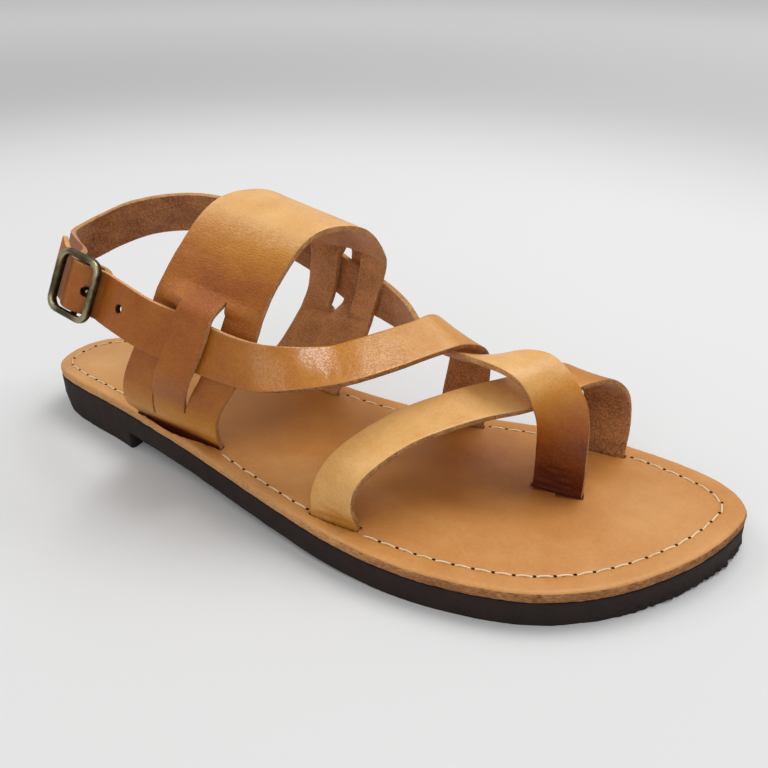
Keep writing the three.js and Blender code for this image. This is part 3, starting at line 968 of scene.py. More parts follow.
@dataclass(frozen=True)
class Wrinkles:
    """A patch of fine wrinkles, scattered from a fixed seed.

    It reaches from start to end along the strap and from low to high, as shares, across it.
    """

    start: float
    end: float
    low: float
    high: float
    count: int
    turn: float
    length: float
    depth: float
    seed: int

    def folds(self) -> list[Fold]:
        """The single folds of the patch."""
        dice = np.random.default_rng(self.seed)
        return [
            Fold(
                dice.uniform(self.start, self.end),
                dice.uniform(self.low, self.high),
                self.turn + dice.normal(0, 14),
                self.length * dice.uniform(0.5, 1.4),
                dice.uniform(0.45, 0.95),
                self.depth * dice.uniform(0.4, 1.0),
            )
            for _ in range(self.count)
        ]


@dataclass
class Ribbon:
    """The middle surface of a flat strap, ruled between its two edges."""

    upper: np.ndarray
    lower: np.ndarray
    at: np.ndarray

    @classmethod
    def from_node(cls, node: str, towards: Sequence[float], heart: Sequence[float]) -> "Ribbon":
        """Reads a strap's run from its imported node.

        Args:
            node: the node's name.
            towards: roughly the direction from the strap's start to its end.
            heart: a point on the strap's flesh side.

        Returns:
            The ribbon, with its grain side away from the heart.
        """
        longest = sorted(sharp_chains(node), key=lambda chain: run_length(chain)[-1])[-4:]
        rails = [
            rail if (rail[-1] - rail[0]) @ np.array(towards) > 0 else rail[::-1]
            for rail in longest
        ]
        count = min(len(rail) for rail in rails)
        if any(len(rail) != count for rail in rails):
            raise ValueError(f"the edges of {node} have different numbers of points")
        first_end = rails[0][0]
        rails.sort(key=lambda rail: np.linalg.norm(rail[0] - first_end))
        first = (rails[0] + rails[1]) / 2
        second = (rails[2] + rails[3]) / 2
        middle = (first + second) / 2
        half = count // 2
        out = np.cross(second[half] - first[half], middle[half + 1] - middle[half - 1])
        if out @ (middle[half] - np.array(heart)) < 0:
            first, second = second, first
        return cls(first, second, run_length(middle))

    @property
    def length(self) -> float:
        """Length of the middle line."""
        return float(self.at[-1])

    def surface(self, s: np.ndarray, v: np.ndarray) -> tuple[np.ndarray, np.ndarray]:
        """Finds places on the ribbon.

        Args:
            s: distances along it, one for each row.
            v: shares across it, in rows.

        Returns:
            The points and the outward normals, in the same rows.
        """
        a, da = follow(self.upper, self.at, s)
        b, db = follow(self.lower, self.at, s)
        share = v[..., None]
        point = a[:, None] * (1 - share) + b[:, None] * share
        run = da[:, None] * (1 - share) + db[:, None] * share
        return point, unit(np.cross((b - a)[:, None], run))

    def width(self) -> float:
        """Width at the middle of its length."""
        half = len(self.at) // 2
        return float(np.linalg.norm(self.upper[half] - self.lower[half]))


@dataclass
class Strap:
    """One strap of leather, as a creased sheet with three finishes.

    The tone_and_light, gloss and pucker are pairs of a distance along the strap and a value, and
    rim is the paleness of its two edges. The tone_and_light table holds the leather's own colour
    with painted light and shade: paler on the lit tops, darker on the shaded sides. The tip is
    the length of a round end.
    """

    name: str
    node: str
    towards: tuple
    heart: tuple
    thickness: float = 2.0
    step: float = 0.8
    bevel: float = 0.4
    folds: Sequence[Fold] = ()
    wrinkles: Sequence[Wrinkles] = ()
    tone_and_light: Sequence[tuple] = ((0, 0.6), (1000, 0.6))
    rim: tuple = (0.5, 0.5)
    gloss: Sequence[tuple] = ((0, 0.3), (1000, 0.3))
    pucker: Sequence[tuple] = ((0, 0.1), (1000, 0.1))
    tip: float = 0.0
    tip_round: float = 0.97
    full_crease: float = 0.35
    waviness: float = 0.1
    wave_size: float = 9.0

    def __post_init__(self) -> None:
        """Reads the strap's run from the frame."""
        self.ribbon = Ribbon.from_node(self.node, self.towards, self.heart)

    def stations(self) -> np.ndarray:
        """Distances along the strap at which it has a row of points."""
        return np.linspace(0, self.ribbon.length, round(self.ribbon.length / self.step) + 1)

    def shares(self, s: np.ndarray) -> np.ndarray:
        """Spreads points across the strap; a round tip draws them together.

        Args:
            s: the stations.

        Returns:
            Shares from 0 to 1, a row for each station.
        """
        count = round(self.ribbon.width() / self.step)
        shares = np.tile(np.linspace(0, 1, count + 1), (len(s), 1))
        if self.tip:
            into = np.clip((s - (self.ribbon.length - self.tip)) / self.tip, 0, 1)
            half = self.ribbon.width() / 2
            kept = 1 - (1 - np.sqrt(1 - (self.tip_round * into) ** 2)) * self.tip / half
            shares = 0.5 + (shares - 0.5) * kept[:, None]
        return shares

    def height(self, s: np.ndarray, v: np.ndarray) -> np.ndarray:
        """How far the leather stands out from the ribbon, besides its creases."""
        return np.zeros_like(v)

    def is_open(self, s: np.ndarray, column: int) -> np.ndarray:
        """Which cells of a column are cut out."""
        return np.zeros(len(s) - 1, bool)

    def build(self, wardrobe: Wardrobe) -> bpy.types.Object:
        """Builds the strap as a creased sheet with a wall and rounded edges.

        Args:
            wardrobe: the finishes.

        Returns:
            The finished strap, not yet handed in.
        """
        s = self.stations()
        v = self.shares(s)
        point, normal = self.ribbon.surface(s, v)
        width = self.ribbon.width()
        raised, crease = self.height(s, v), np.zeros_like(v)
        for fold in [*self.folds, *(fold for patch in self.wrinkles for fold in patch.folds())]:
            part = fold.shape(s[:, None], v * width, width)
            raised = raised - fold.depth * part
            crease = np.maximum(crease, part * min(1.0, max(0.0, fold.depth) / self.full_crease))
        raised = raised + self.waviness * ripple(point, self.wave_size).reshape(v.shape)
        point = point + normal * raised[..., None]
        index = np.arange(v.size).reshape(v.shape)
        cells = np.stack([index[:-1, :-1], index[:-1, 1:], index[1:, 1:], index[1:, :-1]], -1)
        shut = np.stack([~self.is_open(s, column) for column in range(v.shape[1] - 1)], 1)
        kept, faces = np.unique(cells[shut], return_inverse=True)
        materials = [wardrobe.grain, wardrobe.flesh, wardrobe.cut]
        faces = faces.reshape(-1, 4).tolist()
        piece = make_mesh_object(self.name, point.reshape(-1, 3)[kept], faces, materials)
        along = np.broadcast_to(s[:, None], v.shape)
        set_uv(piece, np.stack([along, v * width], -1).reshape(-1, 2)[kept])
        spread = {
            "tone_and_light": np.interp(along, *zip(*self.tone_and_light)),
            "gloss": np.interp(along, *zip(*self.gloss)),
            "pucker": np.interp(along, *zip(*self.pucker)),
            "rim": self.rim[0] + (self.rim[1] - self.rim[0]) * v,
            "crease": crease,
        }
        for name, values in spread.items():
            set_attribute(piece, name, values.reshape(-1)[kept])
        self.thicken(piece)
        return settle(piece)

    def thicken(self, piece: bpy.types.Object) -> None:
        """Gives the sheet its wall, with flesh below and cut leather round its edges.

        Args:
            piece: the sheet.
        """
        wall = piece.modifiers.new("wall", "SOLIDIFY")
        wall.thickness = self.thickness * MM
        wall.offset = 0
        wall.use_quality_normals = True
        wall.material_offset, wall.material_offset_rim = 1, 2
        edge = piece.modifiers.new("edge", "BEVEL")
        edge.width = self.bevel * MM
        edge.segments = 2
        edge.limit_method = "ANGLE"
        edge.angle_limit = EDGE_TURN


@dataclass
class Cuff(Strap):
    """The instep cuff: its middle strip stands off where the laced straps pass.

    Across it lie five lanes: rear, slit, strip, slit and front. Each of the slits is a start,
    an end and its lane, and each of the passes is a start, an end and the lengths over which
    the strip rises and falls.
    """

    thickness: float = 1.9
    slit_width: float = 0.8
    strip_lift: float = 6.7
    slit_blend: float = 4.0
    slits: Sequence[tuple] = ((14, 64, 1), (22, 68, 3), (147.5, 179, 1), (146, 180, 3))
    passes: Sequence[tuple] = ((43, 61.5, 21, 9), (152, 174, 9, 9))
    strip_outer: tuple = (0.33, 0.67)
    strip_inner: tuple = (0.4, 0.685)
    strip_narrows: tuple = (80, 130)
    lane_shares: tuple = (0.36, 0.3, 0.32)
    slack: float = 1e-6

    def stations(self) -> np.ndarray:
        """Spaces the stations evenly, with the ends of the slits among them.

        Returns:
            Distances along the cuff.
        """
        stops = sorted({0.0, self.ribbon.length, *(end for slit in self.slits for end in slit[:2])})
        parts = [
            np.linspace(low, high, max(1, round((high - low) / self.step)), endpoint=False)
            for low, high in zip(stops, stops[1:])
        ]
        return np.concatenate([*parts, [self.ribbon.length]])

    def lane_edges(self, s: np.ndarray) -> np.ndarray:
        """Finds where the lanes begin and end.

        Args:
            s: the stations.

        Returns:
            Six shares for each station.
        """
        low, high = self.strip_narrows
        along = smooth((s - low) / (high - low))
        half = self.slit_width / 2 / self.ribbon.width()
        rear, front = (
            outer + (inner - outer) * along
            for outer, inner in zip(self.strip_outer, self.strip_inner)
        )
        none = np.zeros_like(s)
        return np.stack([none, rear - half, rear + half, front - half, front + half, none + 1], 1)

    def lanes(self) -> list[int]:
        """Number of cells across each lane."""
        rear, strip, front = (
            round(self.ribbon.width() * share / self.step) for share in self.lane_shares
        )
        return [rear, 1, strip, 1, front]

    def shares(self, s: np.ndarray) -> np.ndarray:
        """Spreads points across the cuff, with the slits' edges among them.

        Args:
            s: the stations.

        Returns:
            Shares from 0 to 1, a row for each station.
        """
        edges = self.lane_edges(s)
        parts = [
            edges[:, [lane]] + (edges[:, [lane + 1]] - edges[:, [lane]]) * np.arange(cells) / cells
            for lane, cells in enumerate(self.lanes())
        ]
        return np.concatenate([*parts, edges[:, [5]]], 1)

    def lift(self, s: np.ndarray) -> np.ndarray:
        """How far the strip stands out at each station."""
        lifts = [
            np.minimum(smooth((s - start) / rise + 1), smooth((end - s) / fall + 1))
            for start, end, rise, fall in self.passes
        ]
        return self.strip_lift * np.maximum(*lifts)

    def joined(self, s: np.ndarray, lane: int) -> np.ndarray:
        """1 beyond the ends of the slits in a lane, 0 well inside them."""
        inside = [
            np.minimum(s - start, end - s) for start, end, where in self.slits if where == lane
        ]
        return 1 - smooth(np.maximum(*inside) / self.slit_blend)

    def height(self, s: np.ndarray, v: np.ndarray) -> np.ndarray:
        """Lifts the strip, and blends the lift over the lanes beside it past the slits' ends.

        Args:
            s: the stations.
            v: shares across the cuff, in rows.

        Returns:
            How far the leather stands out from the ribbon.
        """
        edges = self.lane_edges(s)
        lift = self.lift(s)
        none = np.zeros_like(s)
        at_edges = np.stack(
            [none, lift * self.joined(s, 1), lift, lift, lift * self.joined(s, 3), none], 1
        )
        return np.array([np.interp(row, knots, high) for row, knots, high in zip(v, edges, at_edges)])

    def is_open(self, s: np.ndarray, column: int) -> np.ndarray:
        """Finds the cells of a column that lie in a slit.

        Args:
            s: the stations.
            column: the column's place across the cuff.

        Returns:
            Whether each cell is cut out.
        """
        first = np.cumsum([0, *self.lanes()])
        cut = np.zeros(len(s) - 1, bool)
        for start, end, lane in self.slits:
            if column == first[lane]:
                cut |= (s[:-1] >= start - self.slack) & (s[1:] <= end + self.slack)
        return cut


@dataclass(frozen=True)
class Punch:
    """A round hole through a strap."""

    along: float
    across: float
    radius: float
    reach: float = 5.0
    facets: int = 40

    def cutter(self, ribbon: Ribbon, finish: bpy.types.Material) -> bpy.types.Object:
        """Makes the bar that cuts the hole, along the strap's normal.

        Args:
            ribbon: the strap's run.
            finish: the finish of the hole's wall.

        Returns:
            The bar.
        """
        point, normal = ribbon.surface(np.array([self.along]), np.array([[self.across]]))
        turn = np.array(Vector(normal[0, 0]).to_track_quat("Z", "Y").to_matrix())
        angles = np.arange(self.facets) * 2 * math.pi / self.facets
        ring = np.stack([np.cos(angles), np.sin(angles), 0 * angles], 1) * self.radius
        ends = np.concatenate([ring - [0, 0, self.reach], ring + [0, 0, self.reach]])
        return make_mesh_object("punch", ends @ turn.T + point[0, 0], tube(2, self.facets), [finish])


@dataclass
class Upper:
    """The four straps, with their creases and tones, and the tip's stitches.

    Tones, glosses and puckers are pairs of a distance along the strap and a value; the tones
    hold painted light and shade besides the leather's own colour.
    """

    wardrobe: Wardrobe
    holes: Sequence[Punch] = (Punch(24.4, 0.52, 1.75), Punch(42.2, 0.5, 1.45))
    seam_inset: float = 3.2
    seam_span: tuple = (0.1, 0.9)
    seam_points: int = 12
    seam_rise: float = 0.05

    def __post_init__(self) -> None:
        """Lays out the straps."""
        # Tone tables: the leather's colour with painted light on the tops and painted shade on the
        # sides.
        self.cuff = Cuff(
            name="instep_cuff",
            node="upper_instep_cuff",
            towards=(0, 1, 0),
            heart=(70, 0, 40),
            folds=[Fold(8, 0.5, 4, 30, 2.2, 0.35), Fold(205, 0.5, 0, 30, 2.2, 0.35)],
            wrinkles=[
                Wrinkles(62, 98, 0.02, 0.6, 80, 8, 5, 0.1, 3),
                Wrinkles(96, 130, 0.02, 0.4, 16, 8, 6, 0.06, 4),
            ],
            pucker=[(0, 0.2), (50, 0.6), (62, 1.0), (92, 0.9), (104, 0.25), (213, 0.2)],
            # Painted shadow near black in the slot, painted shade on the near side, painted sheen at
            # 88-115.
            tone_and_light=[
                (0, 0.0), (5, 0.02), (8, 0.6), (16, 0.66), (28, 0.4), (55, 0.34), (75, 0.36),
                (88, 0.58), (98, 0.86), (115, 0.86), (135, 0.74), (213, 0.78),
            ],
            rim=(0.62, 0.5),
            gloss=[(0, 0.1), (60, 0.25), (82, 0.3), (90, 0.7), (100, 0.6), (112, 0.4), (213, 0.2)],
        )
        self.ball = Strap(
            name="ball_strap",
            node="upper_ball_strap",
            towards=(0, 1, 0),
            heart=(145, 0, 15),
            folds=[
                Fold(5.0, 0.5, 6, 16, 0.8, 0.3),
                Fold(7.5, 0.45, -4, 12, 0.7, 0.2),
                Fold(10.5, 0.6, 3, 9, 0.7, 0.14),
                Fold(146, 0.5, 0, 14, 0.9, 0.25),
            ],
            # Painted light on the lit top and painted shade on the shaded side, with the leather's
            # colour.
            tone_and_light=[(0, 0.6), (8, 0.78), (30, 0.88), (80, 0.84), (105, 0.72), (118, 0.42), (152, 0.34)],
            rim=(0.7, 0.42),
            gloss=[(0, 0.1), (40, 0.5), (152, 0.3)],
        )
        self.lateral = Strap(
            name="lateral_strap",
            node="upper_lateral_strap",
            towards=(1, 0, 0),
            heart=(95, 0, 40),
            folds=[
                Fold(17, 0.5, 3, 15, 1.0, 0.25),
                Fold(31, 0.5, -3, 15, 1.6, 0.3),
                Fold(214, 0.5, 0, 14, 0.9, 0.25),
            ],
            wrinkles=[Wrinkles(108, 150, 0.05, 0.95, 40, 4, 6, 0.07, 11)],
            # Painted light on the lit top and painted shade on the shaded side, with the leather's
            # colour.
            tone_and_light=[(0, 0.42), (30, 0.32), (60, 0.36), (95, 0.46), (125, 0.58), (160, 0.7), (222, 0.4)],
            rim=(0.75, 0.3),
            gloss=[(0, 0.3), (80, 0.5), (105, 1.0), (135, 1.0), (155, 0.5), (222, 0.2)],
        )
        self.medial = Strap(
            name="medial_strap",
            node="upper_medial_strap",
            towards=(-1, 0, 0),
            heart=(80, 0, 40),
            folds=[
                Fold(4.2, 0.5, 3, 16, 0.7, 0.34),
                Fold(6.6, 0.55, -5, 14, 0.7, 0.3),
                Fold(9.0, 0.4, 4, 12, 0.7, 0.24),
                Fold(12.0, 0.6, -3, 9, 0.7, 0.16),
            ],
            wrinkles=[Wrinkles(3, 12, 0.1, 0.9, 16, 0, 6, 0.16, 21)],
            # The dark foot is partly darker leather and partly painted shade.
            tone_and_light=[
                (0, -0.06), (8, 0.0), (22, 0.16), (34, 0.46), (44, 0.76), (56, 0.86), (80, 0.8),
                (120, 0.6), (200, 0.3), (300, 0.2), (335, 0.5),
            ],
            rim=(0.55, 0.45),
            gloss=[(0, 0.3), (50, 0.4), (335, 0.2)],
            tip=4.5,
        )

    def seam(self) -> bpy.types.Object:
        """Sews a short row across the medial strap, near its tip.

        Returns:
            The stitches.
        """
        ribbon = self.medial.ribbon
        stations = np.array([ribbon.length - self.seam_inset])
        point, normal = ribbon.surface(stations, np.linspace(*self.seam_span, self.seam_points)[None])
        path = point[0] + normal[0] * (self.medial.thickness / 2 + self.seam_rise)
        row = Stitches(pitch=3.2, stitch=2.6, thread=0.28, hole=0.4)
        return row.sew("tip_stitches", [path], [normal[0]], self.wardrobe)

    def build(self) -> None:
        """Builds, punches and hands in the straps and their stitches."""
        for strap in (self.cuff, self.ball, self.lateral, self.medial):
            piece = strap.build(self.wardrobe)
            if strap is self.lateral:
                for hole in self.holes:
                    # The holes' walls take the near black finish: painted shade inside the holes.
                    carve(piece, hole.cutter(strap.ribbon, self.wardrobe.hole_shade))
            hand_in(piece, Slot.STRAP, strap.node)
        hand_in(self.seam(), Slot.THREAD)


# ---------------------------------------------------------------- stitches


@dataclass
class Stitches:
    """A row of stitches with a needle hole between each two, by Geometry Nodes."""

    pitch: float = 6.0
    stitch: float = 4.9
    thread: float = 0.29
    hole: float = 0.62
    seed: int = 5
    sway: tuple = (0.05, 0.03, 0.10)
    dip: float = 0.9
    bow: float = 1.7
    pit_scale: tuple = (1.0, 0.8, 0.22)
    pit_rise: float = 0.02

    def sizes(self) -> dict[str, float | int]:
        """The tree's inputs by name, with its lengths in metres."""
        return {
            "Pitch": self.pitch * MM,
            "Stitch Length": self.stitch * MM,
            "Thread Radius": self.thread * MM,
            "Hole Radius": self.hole * MM,
            "Seed": self.seed,
        }

    def tree(self, wardrobe: Wardrobe) -> bpy.types.NodeTree:
        """Builds the Geometry Nodes tree: bent threads and sunk holes along paths.

        Args:
            wardrobe: the finishes.

        Returns:
            The tree, with its sizes as named inputs.
        """
        tree = bpy.data.node_groups.new("stitches", "GeometryNodeTree")
        graph = Graph(tree)
        kinds = {name: "Int" if type(size) is int else "Float" for name, size in self.sizes().items()}
        for name, kind in {"Path": "Geometry", **kinds}.items():
            tree.interface.new_socket(name=name, in_out="INPUT", socket_type=f"NodeSocket{kind}")
        tree.interface.new_socket(name="Row", in_out="OUTPUT", socket_type="NodeSocketGeometry")
        given = tree.nodes.new("NodeGroupInput").outputs[: len(kinds) + 1]
        path, pitch, stitch, thread, hole, seed = (Channel(graph, socket) for socket in given)
        curve = graph.node("GeometryNodeMeshToCurve", {}, {"Mesh": path})
        inputs = {"Curve": curve, "Length": pitch}
        points = graph.node("GeometryNodeCurveToPoints", {"mode": "LENGTH"}, inputs)
        upright = self.upright(graph, Channel(graph, points.socket.node.outputs["Tangent"]))
        spread = {"Min": [-angle for angle in self.sway], "Max": self.sway, "Seed": seed}
        sway = graph.node("FunctionNodeRandomValue", {"data_type": "FLOAT_VECTOR"}, spread, "Value")
        inputs = {"Rotation": upright, "Rotate By": sway}
        turned = graph.node("FunctionNodeRotateRotation", {"rotation_space": "LOCAL"}, inputs)
        yarn, pit = self.yarn(graph, stitch, thread), self.pit(graph, pitch, hole)
        join = tree.nodes.new("GeometryNodeJoinGeometry")
        for instance, rotation, finish in (
            (yarn, turned, wardrobe.thread),
            (pit, upright, wardrobe.hole_shade),
        ):
            inputs = {"Points": points, "Instance": instance, "Rotation": rotation}
            copies = graph.node("GeometryNodeInstanceOnPoints", {}, inputs)
            real = graph.node("GeometryNodeRealizeInstances", {}, {"Geometry": copies})
            inputs = {"Geometry": real, "Material": finish}
            row = graph.node("GeometryNodeSetMaterial", {}, inputs)
            tree.links.new(row.socket, join.inputs[0])
        tree.links.new(join.outputs[0], tree.nodes.new("NodeGroupOutput").inputs[0])
        return tree

    def upright(self, graph: Graph, tangent: Channel) -> Channel:
        """Turns a stitch to lie on the leather.

        Args:
            graph: the tree's graph.
            tangent: the direction of the path.

        Returns:
            A turn with X along the path and Z away from the leather.
        """
        kind = {"data_type": "FLOAT_VECTOR"}
        stored = {"Name": "facing"}
        facing = graph.node("GeometryNodeInputNamedAttribute", kind, stored, "Attribute")
        align = "FunctionNodeAlignRotationToVector"
        ahead = graph.node(align, {"axis": "X"}, {"Vector": tangent})
        inputs = {"Rotation": ahead, "Vector": facing}
        return graph.node(align, {"axis": "Z", "pivot_axis": "X"}, inputs)

    def yarn(self, graph: Graph, stitch: Channel, thread: Channel) -> Channel:
        """Makes one stitch: a bowed length of thread whose ends dip into the leather.

        Args:
            graph: the tree's graph.
            stitch: its length.
            thread: the thread's radius.

        Returns:
            The stitch, along X and with Z up.
        """
        half, dip = stitch * 0.5, thread * -self.dip
        start, middle, end = (
            graph.node("ShaderNodeCombineXYZ", {}, {0: along, 2: rise})
            for along, rise in ((half * -1, dip), (half * 0, thread * self.bow), (half, dip))
        )
        inputs = {"Resolution": 8, "Start": start, "Middle": middle, "End": end}
        bow = graph.node("GeometryNodeCurveQuadraticBezier", {}, inputs)
        inputs = {"Resolution": 8, "Radius": thread}
        section = graph.node("GeometryNodeCurvePrimitiveCircle", {}, inputs)
        inputs = {"Curve": bow, "Profile Curve": section, "Fill Caps": True}
        return graph.node("GeometryNodeCurveToMesh", {}, inputs)

    def pit(self, graph: Graph, pitch: Channel, hole: Channel) -> Channel:
        """Makes one needle hole: a flat dimple of painted shade halfway to the next stitch.

        Args:
            graph: the tree's graph.
            pitch: the distance from one stitch to the next.
            hole: the hole's radius.

        Returns:
            The dimple.
        """
        inputs = {"Segments": 12, "Rings": 6, "Radius": hole}
        ball = graph.node("GeometryNodeMeshUVSphere", {}, inputs, "Mesh")
        ahead = {0: pitch * 0.5, 2: hole * self.pit_rise}
        shift = graph.node("ShaderNodeCombineXYZ", {}, ahead)
        inputs = {"Geometry": ball, "Translation": shift, "Scale": self.pit_scale}
        return graph.node("GeometryNodeTransform", {}, inputs)

    def sew(
        self,
        name: str,
        paths: Sequence[np.ndarray],
        facings: Sequence[np.ndarray],
        wardrobe: Wardrobe,
    ) -> bpy.types.Object:
        """Sews along paths.

        Args:
            name: the piece's name.
            paths: chains of points on the leather, in millimetres.
            facings: the direction away from the leather at each of their points.
            wardrobe: the finishes.

        Returns:
            The row of stitches as plain mesh.
        """
        firsts = np.cumsum([0, *(len(path) for path in paths)])
        edges = [
            (i, i + 1) for start, end in zip(firsts, firsts[1:]) for i in range(start, end - 1)
        ]
        materials = [wardrobe.thread, wardrobe.hole_shade]
        row = make_mesh_object(name, np.concatenate(paths), [], materials, edges)
        facing = row.data.attributes.new("facing", "FLOAT_VECTOR", "POINT")
        facing.data.foreach_set("vector", np.concatenate(facings).astype(np.float32).ravel())
        modifier = row.modifiers.new("stitches", "NODES")
        modifier.node_group = self.tree(wardrobe)
        for item in modifier.node_group.interface.items_tree:
            if item.name in self.sizes():
                modifier[item.identifier] = self.sizes()[item.name]
        settle(row)
        self.drop_empty_slots(row.data)
        return row

    @staticmethod
    def drop_empty_slots(mesh: bpy.types.Mesh) -> None:
        """Removes a mesh's material slots that hold nothing.

        Args:
            mesh: the mesh.
        """
        finishes = list(mesh.materials)
        kept = [place for place, finish in enumerate(finishes) if finish]
        used = np.empty(len(mesh.polygons), np.int32)
        mesh.polygons.foreach_get("material_index", used)
        mesh.materials.clear()
        for place in kept:
            mesh.materials.append(finishes[place])
        mesh.polygons.foreach_set("material_index", np.searchsorted(kept, used).astype(np.int32))


# ---------------------------------------------------------------- sole


@dataclass
class SoleForm:
    """The sole's outline and profile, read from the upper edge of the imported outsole."""

    half_count: int = 306
    thickness: float = 8.2
    middle_rungs: int = 24

    def __post_init__(self) -> None:
        """Reads the outline: from the rear tip along the outer side to the toe and back."""
        ring = max(sharp_chains("outsole"), key=lambda chain: run_length(chain)[-1])[:-1]
        area = np.sum(ring[:, 0] * np.roll(ring[:, 1], -1) - ring[:, 1] * np.roll(ring[:, 0], -1))
        ring = ring if area > 0 else ring[::-1]
        ring = np.roll(ring, -int(np.argmin(ring[:, 0])), axis=0)
        overlap = 4
        around = np.concatenate([ring[-overlap:], ring, ring[: overlap + 1]])
        at = run_length(around)
        start, toe, end = at[[overlap, overlap + int(np.argmax(ring[:, 0])), overlap + len(ring)]]
        halves = ((start, toe), (toe, end))
        where = [np.linspace(*half, self.half_count, endpoint=False) for half in halves]
        self.ring, slope = follow(around, at, np.concatenate(where))
        self.inward = unit(np.stack([-slope[:, 1], slope[:, 0]], 1))
        self.count = len(self.ring)

    def base(self, x: np.ndarray) -> np.ndarray:
        """Height of the outsole's upper face at x."""
        outer = self.ring[: self.half_count + 1]
        return np.interp(x, outer[:, 0], outer[:, 2])

    def loop(self, inset: np.ndarray | float, height: float) -> np.ndarray:
        """The outline moved inwards, at a height above the outsole's upper face."""
        flat = self.ring[:, :2] + self.inward * np.broadcast_to(inset, self.count)[:, None]
        return np.column_stack([flat, self.base(flat[:, 0]) + height])

    def rungs(self, loop: np.ndarray, steps: Sequence[float]) -> np.ndarray:
        """Fills a loop with points between its two sides.

        Args:
            loop: the points round the loop.
            steps: distances from each side at which points lie close together.

        Returns:
            A row of points for each pair of the loop's own points.
        """
        outer = loop[1 : self.half_count]
        inner = loop[: self.half_count : -1]
        width = np.linalg.norm(inner - outer, axis=1)[:, None]
        steps = np.asarray(steps)
        near = np.minimum(steps / width, 0.5 * steps / max(steps))
        middle = np.linspace(0, 1, self.middle_rungs + 2)[1:-1]
        middle = near[:, -1:] + (1 - 2 * near[:, -1:]) * middle
        share = np.concatenate([near, middle, 1 - near[:, ::-1]], 1)[..., None]
        return outer[:, None] * (1 - share) + inner[:, None] * share


@dataclass
class Layer:
    """A layer of the sole: a wall of loops, closed above and below by rungs.

    Its profile is pairs of an inset and a height, from the bottom to the top.
    """

    form: SoleForm
    profile: Sequence[tuple]
    shoulder: float = 0.3
    edge_steps: Sequence[float] = (0.7, 1.4, 2.1, 2.8, 3.5, 4.2, 4.9, 5.6, 6.3, 7.0, 7.8, 8.6, 9.6)

    def build(
        self,
        name: str,
        materials: Sequence[bpy.types.Material],
        shift: Callable[[np.ndarray, np.ndarray], np.ndarray],
    ) -> bpy.types.Object:
        """Builds the layer.

        Args:
            name: the piece's name.
            materials: the finish of its upper face, its wall and its underside.
            shift: moves the points; it takes them and their outward directions.

        Returns:
            The layer's object.
        """
        count = self.form.count
        loops = [self.form.loop(inset, height) for inset, height in self.profile]
        side = np.column_stack([-self.form.inward, np.zeros(count)])
        points, outward = [*loops], [side] * len(loops)
        faces = tube(len(loops), count, capped=False)
        shoulder = self.profile[-1][1] - self.shoulder
        finish = [int(height < shoulder) for _, height in self.profile[1:] for _ in range(count)]
        for level, up in ((len(loops) - 1, True), (0, False)):
            grid = self.form.rungs(loops[level], self.edge_steps)
            faces.extend(self.end_faces(level * count, sum(map(len, points)), grid.shape, up))
            points.append(grid.reshape(-1, 3))
            outward.append(np.tile([0, 0, 1.0 if up else -1.0], (len(points[-1]), 1)))
            finish.extend([0 if up else 2] * (len(faces) - len(finish)))
        moved = shift(np.concatenate(points), np.concatenate(outward))
        piece = make_mesh_object(name, moved, faces, materials)
        piece.data.polygons.foreach_set("material_index", np.array(finish, np.int32))
        return piece

    def end_faces(self, base: int, first: int, shape: Sequence[int], up: bool) -> list[tuple]:
        """Joins the points within one end of the layer to the loop round it.

        Args:
            base: index of the loop's first point.
            first: index of the first point within.
            shape: number of rows within, and of points in each.
            up: whether the end faces up.

        Returns:
            The faces: quads between the rows, and fans at the heel and the toe.
        """
        half = self.form.half_count
        within = first + np.arange(shape[0] * shape[1]).reshape(shape[:2])
        step = np.arange(1, half)
        rows = np.column_stack([base + step, within, base + self.form.count - step])
        faces = []
        for row, ahead in zip(rows, rows[1:]):
            for k in range(len(row) - 1):
                quad = (row[k], ahead[k], ahead[k + 1], row[k + 1])
                faces.append(quad if up else quad[::-1])
        for tip, row, turn in ((base, rows[0], up), (base + half, rows[-1], not up)):
            for pair in zip(row, row[1:]):
                fan = (tip, *pair)
                faces.append(fan if turn else fan[::-1])
        return faces


@dataclass(frozen=True)
class BurnishAndShade:
    """A soft darker place on the footbed, of wear and painted shade; paler where it is negative."""

    x: float
    y: float
    reach_x: float
    reach_y: float
    amount: float

    def shade(self, points: np.ndarray) -> np.ndarray:
        """Finds how much darker each point is.

        Args:
            points: the points.

        Returns:
            What comes off their tone.
        """
        dx = (points[:, 0] - self.x) / self.reach_x
        dy = (points[:, 1] - self.y) / self.reach_y
        return self.amount * np.exp(-(dx * dx) - dy * dy)


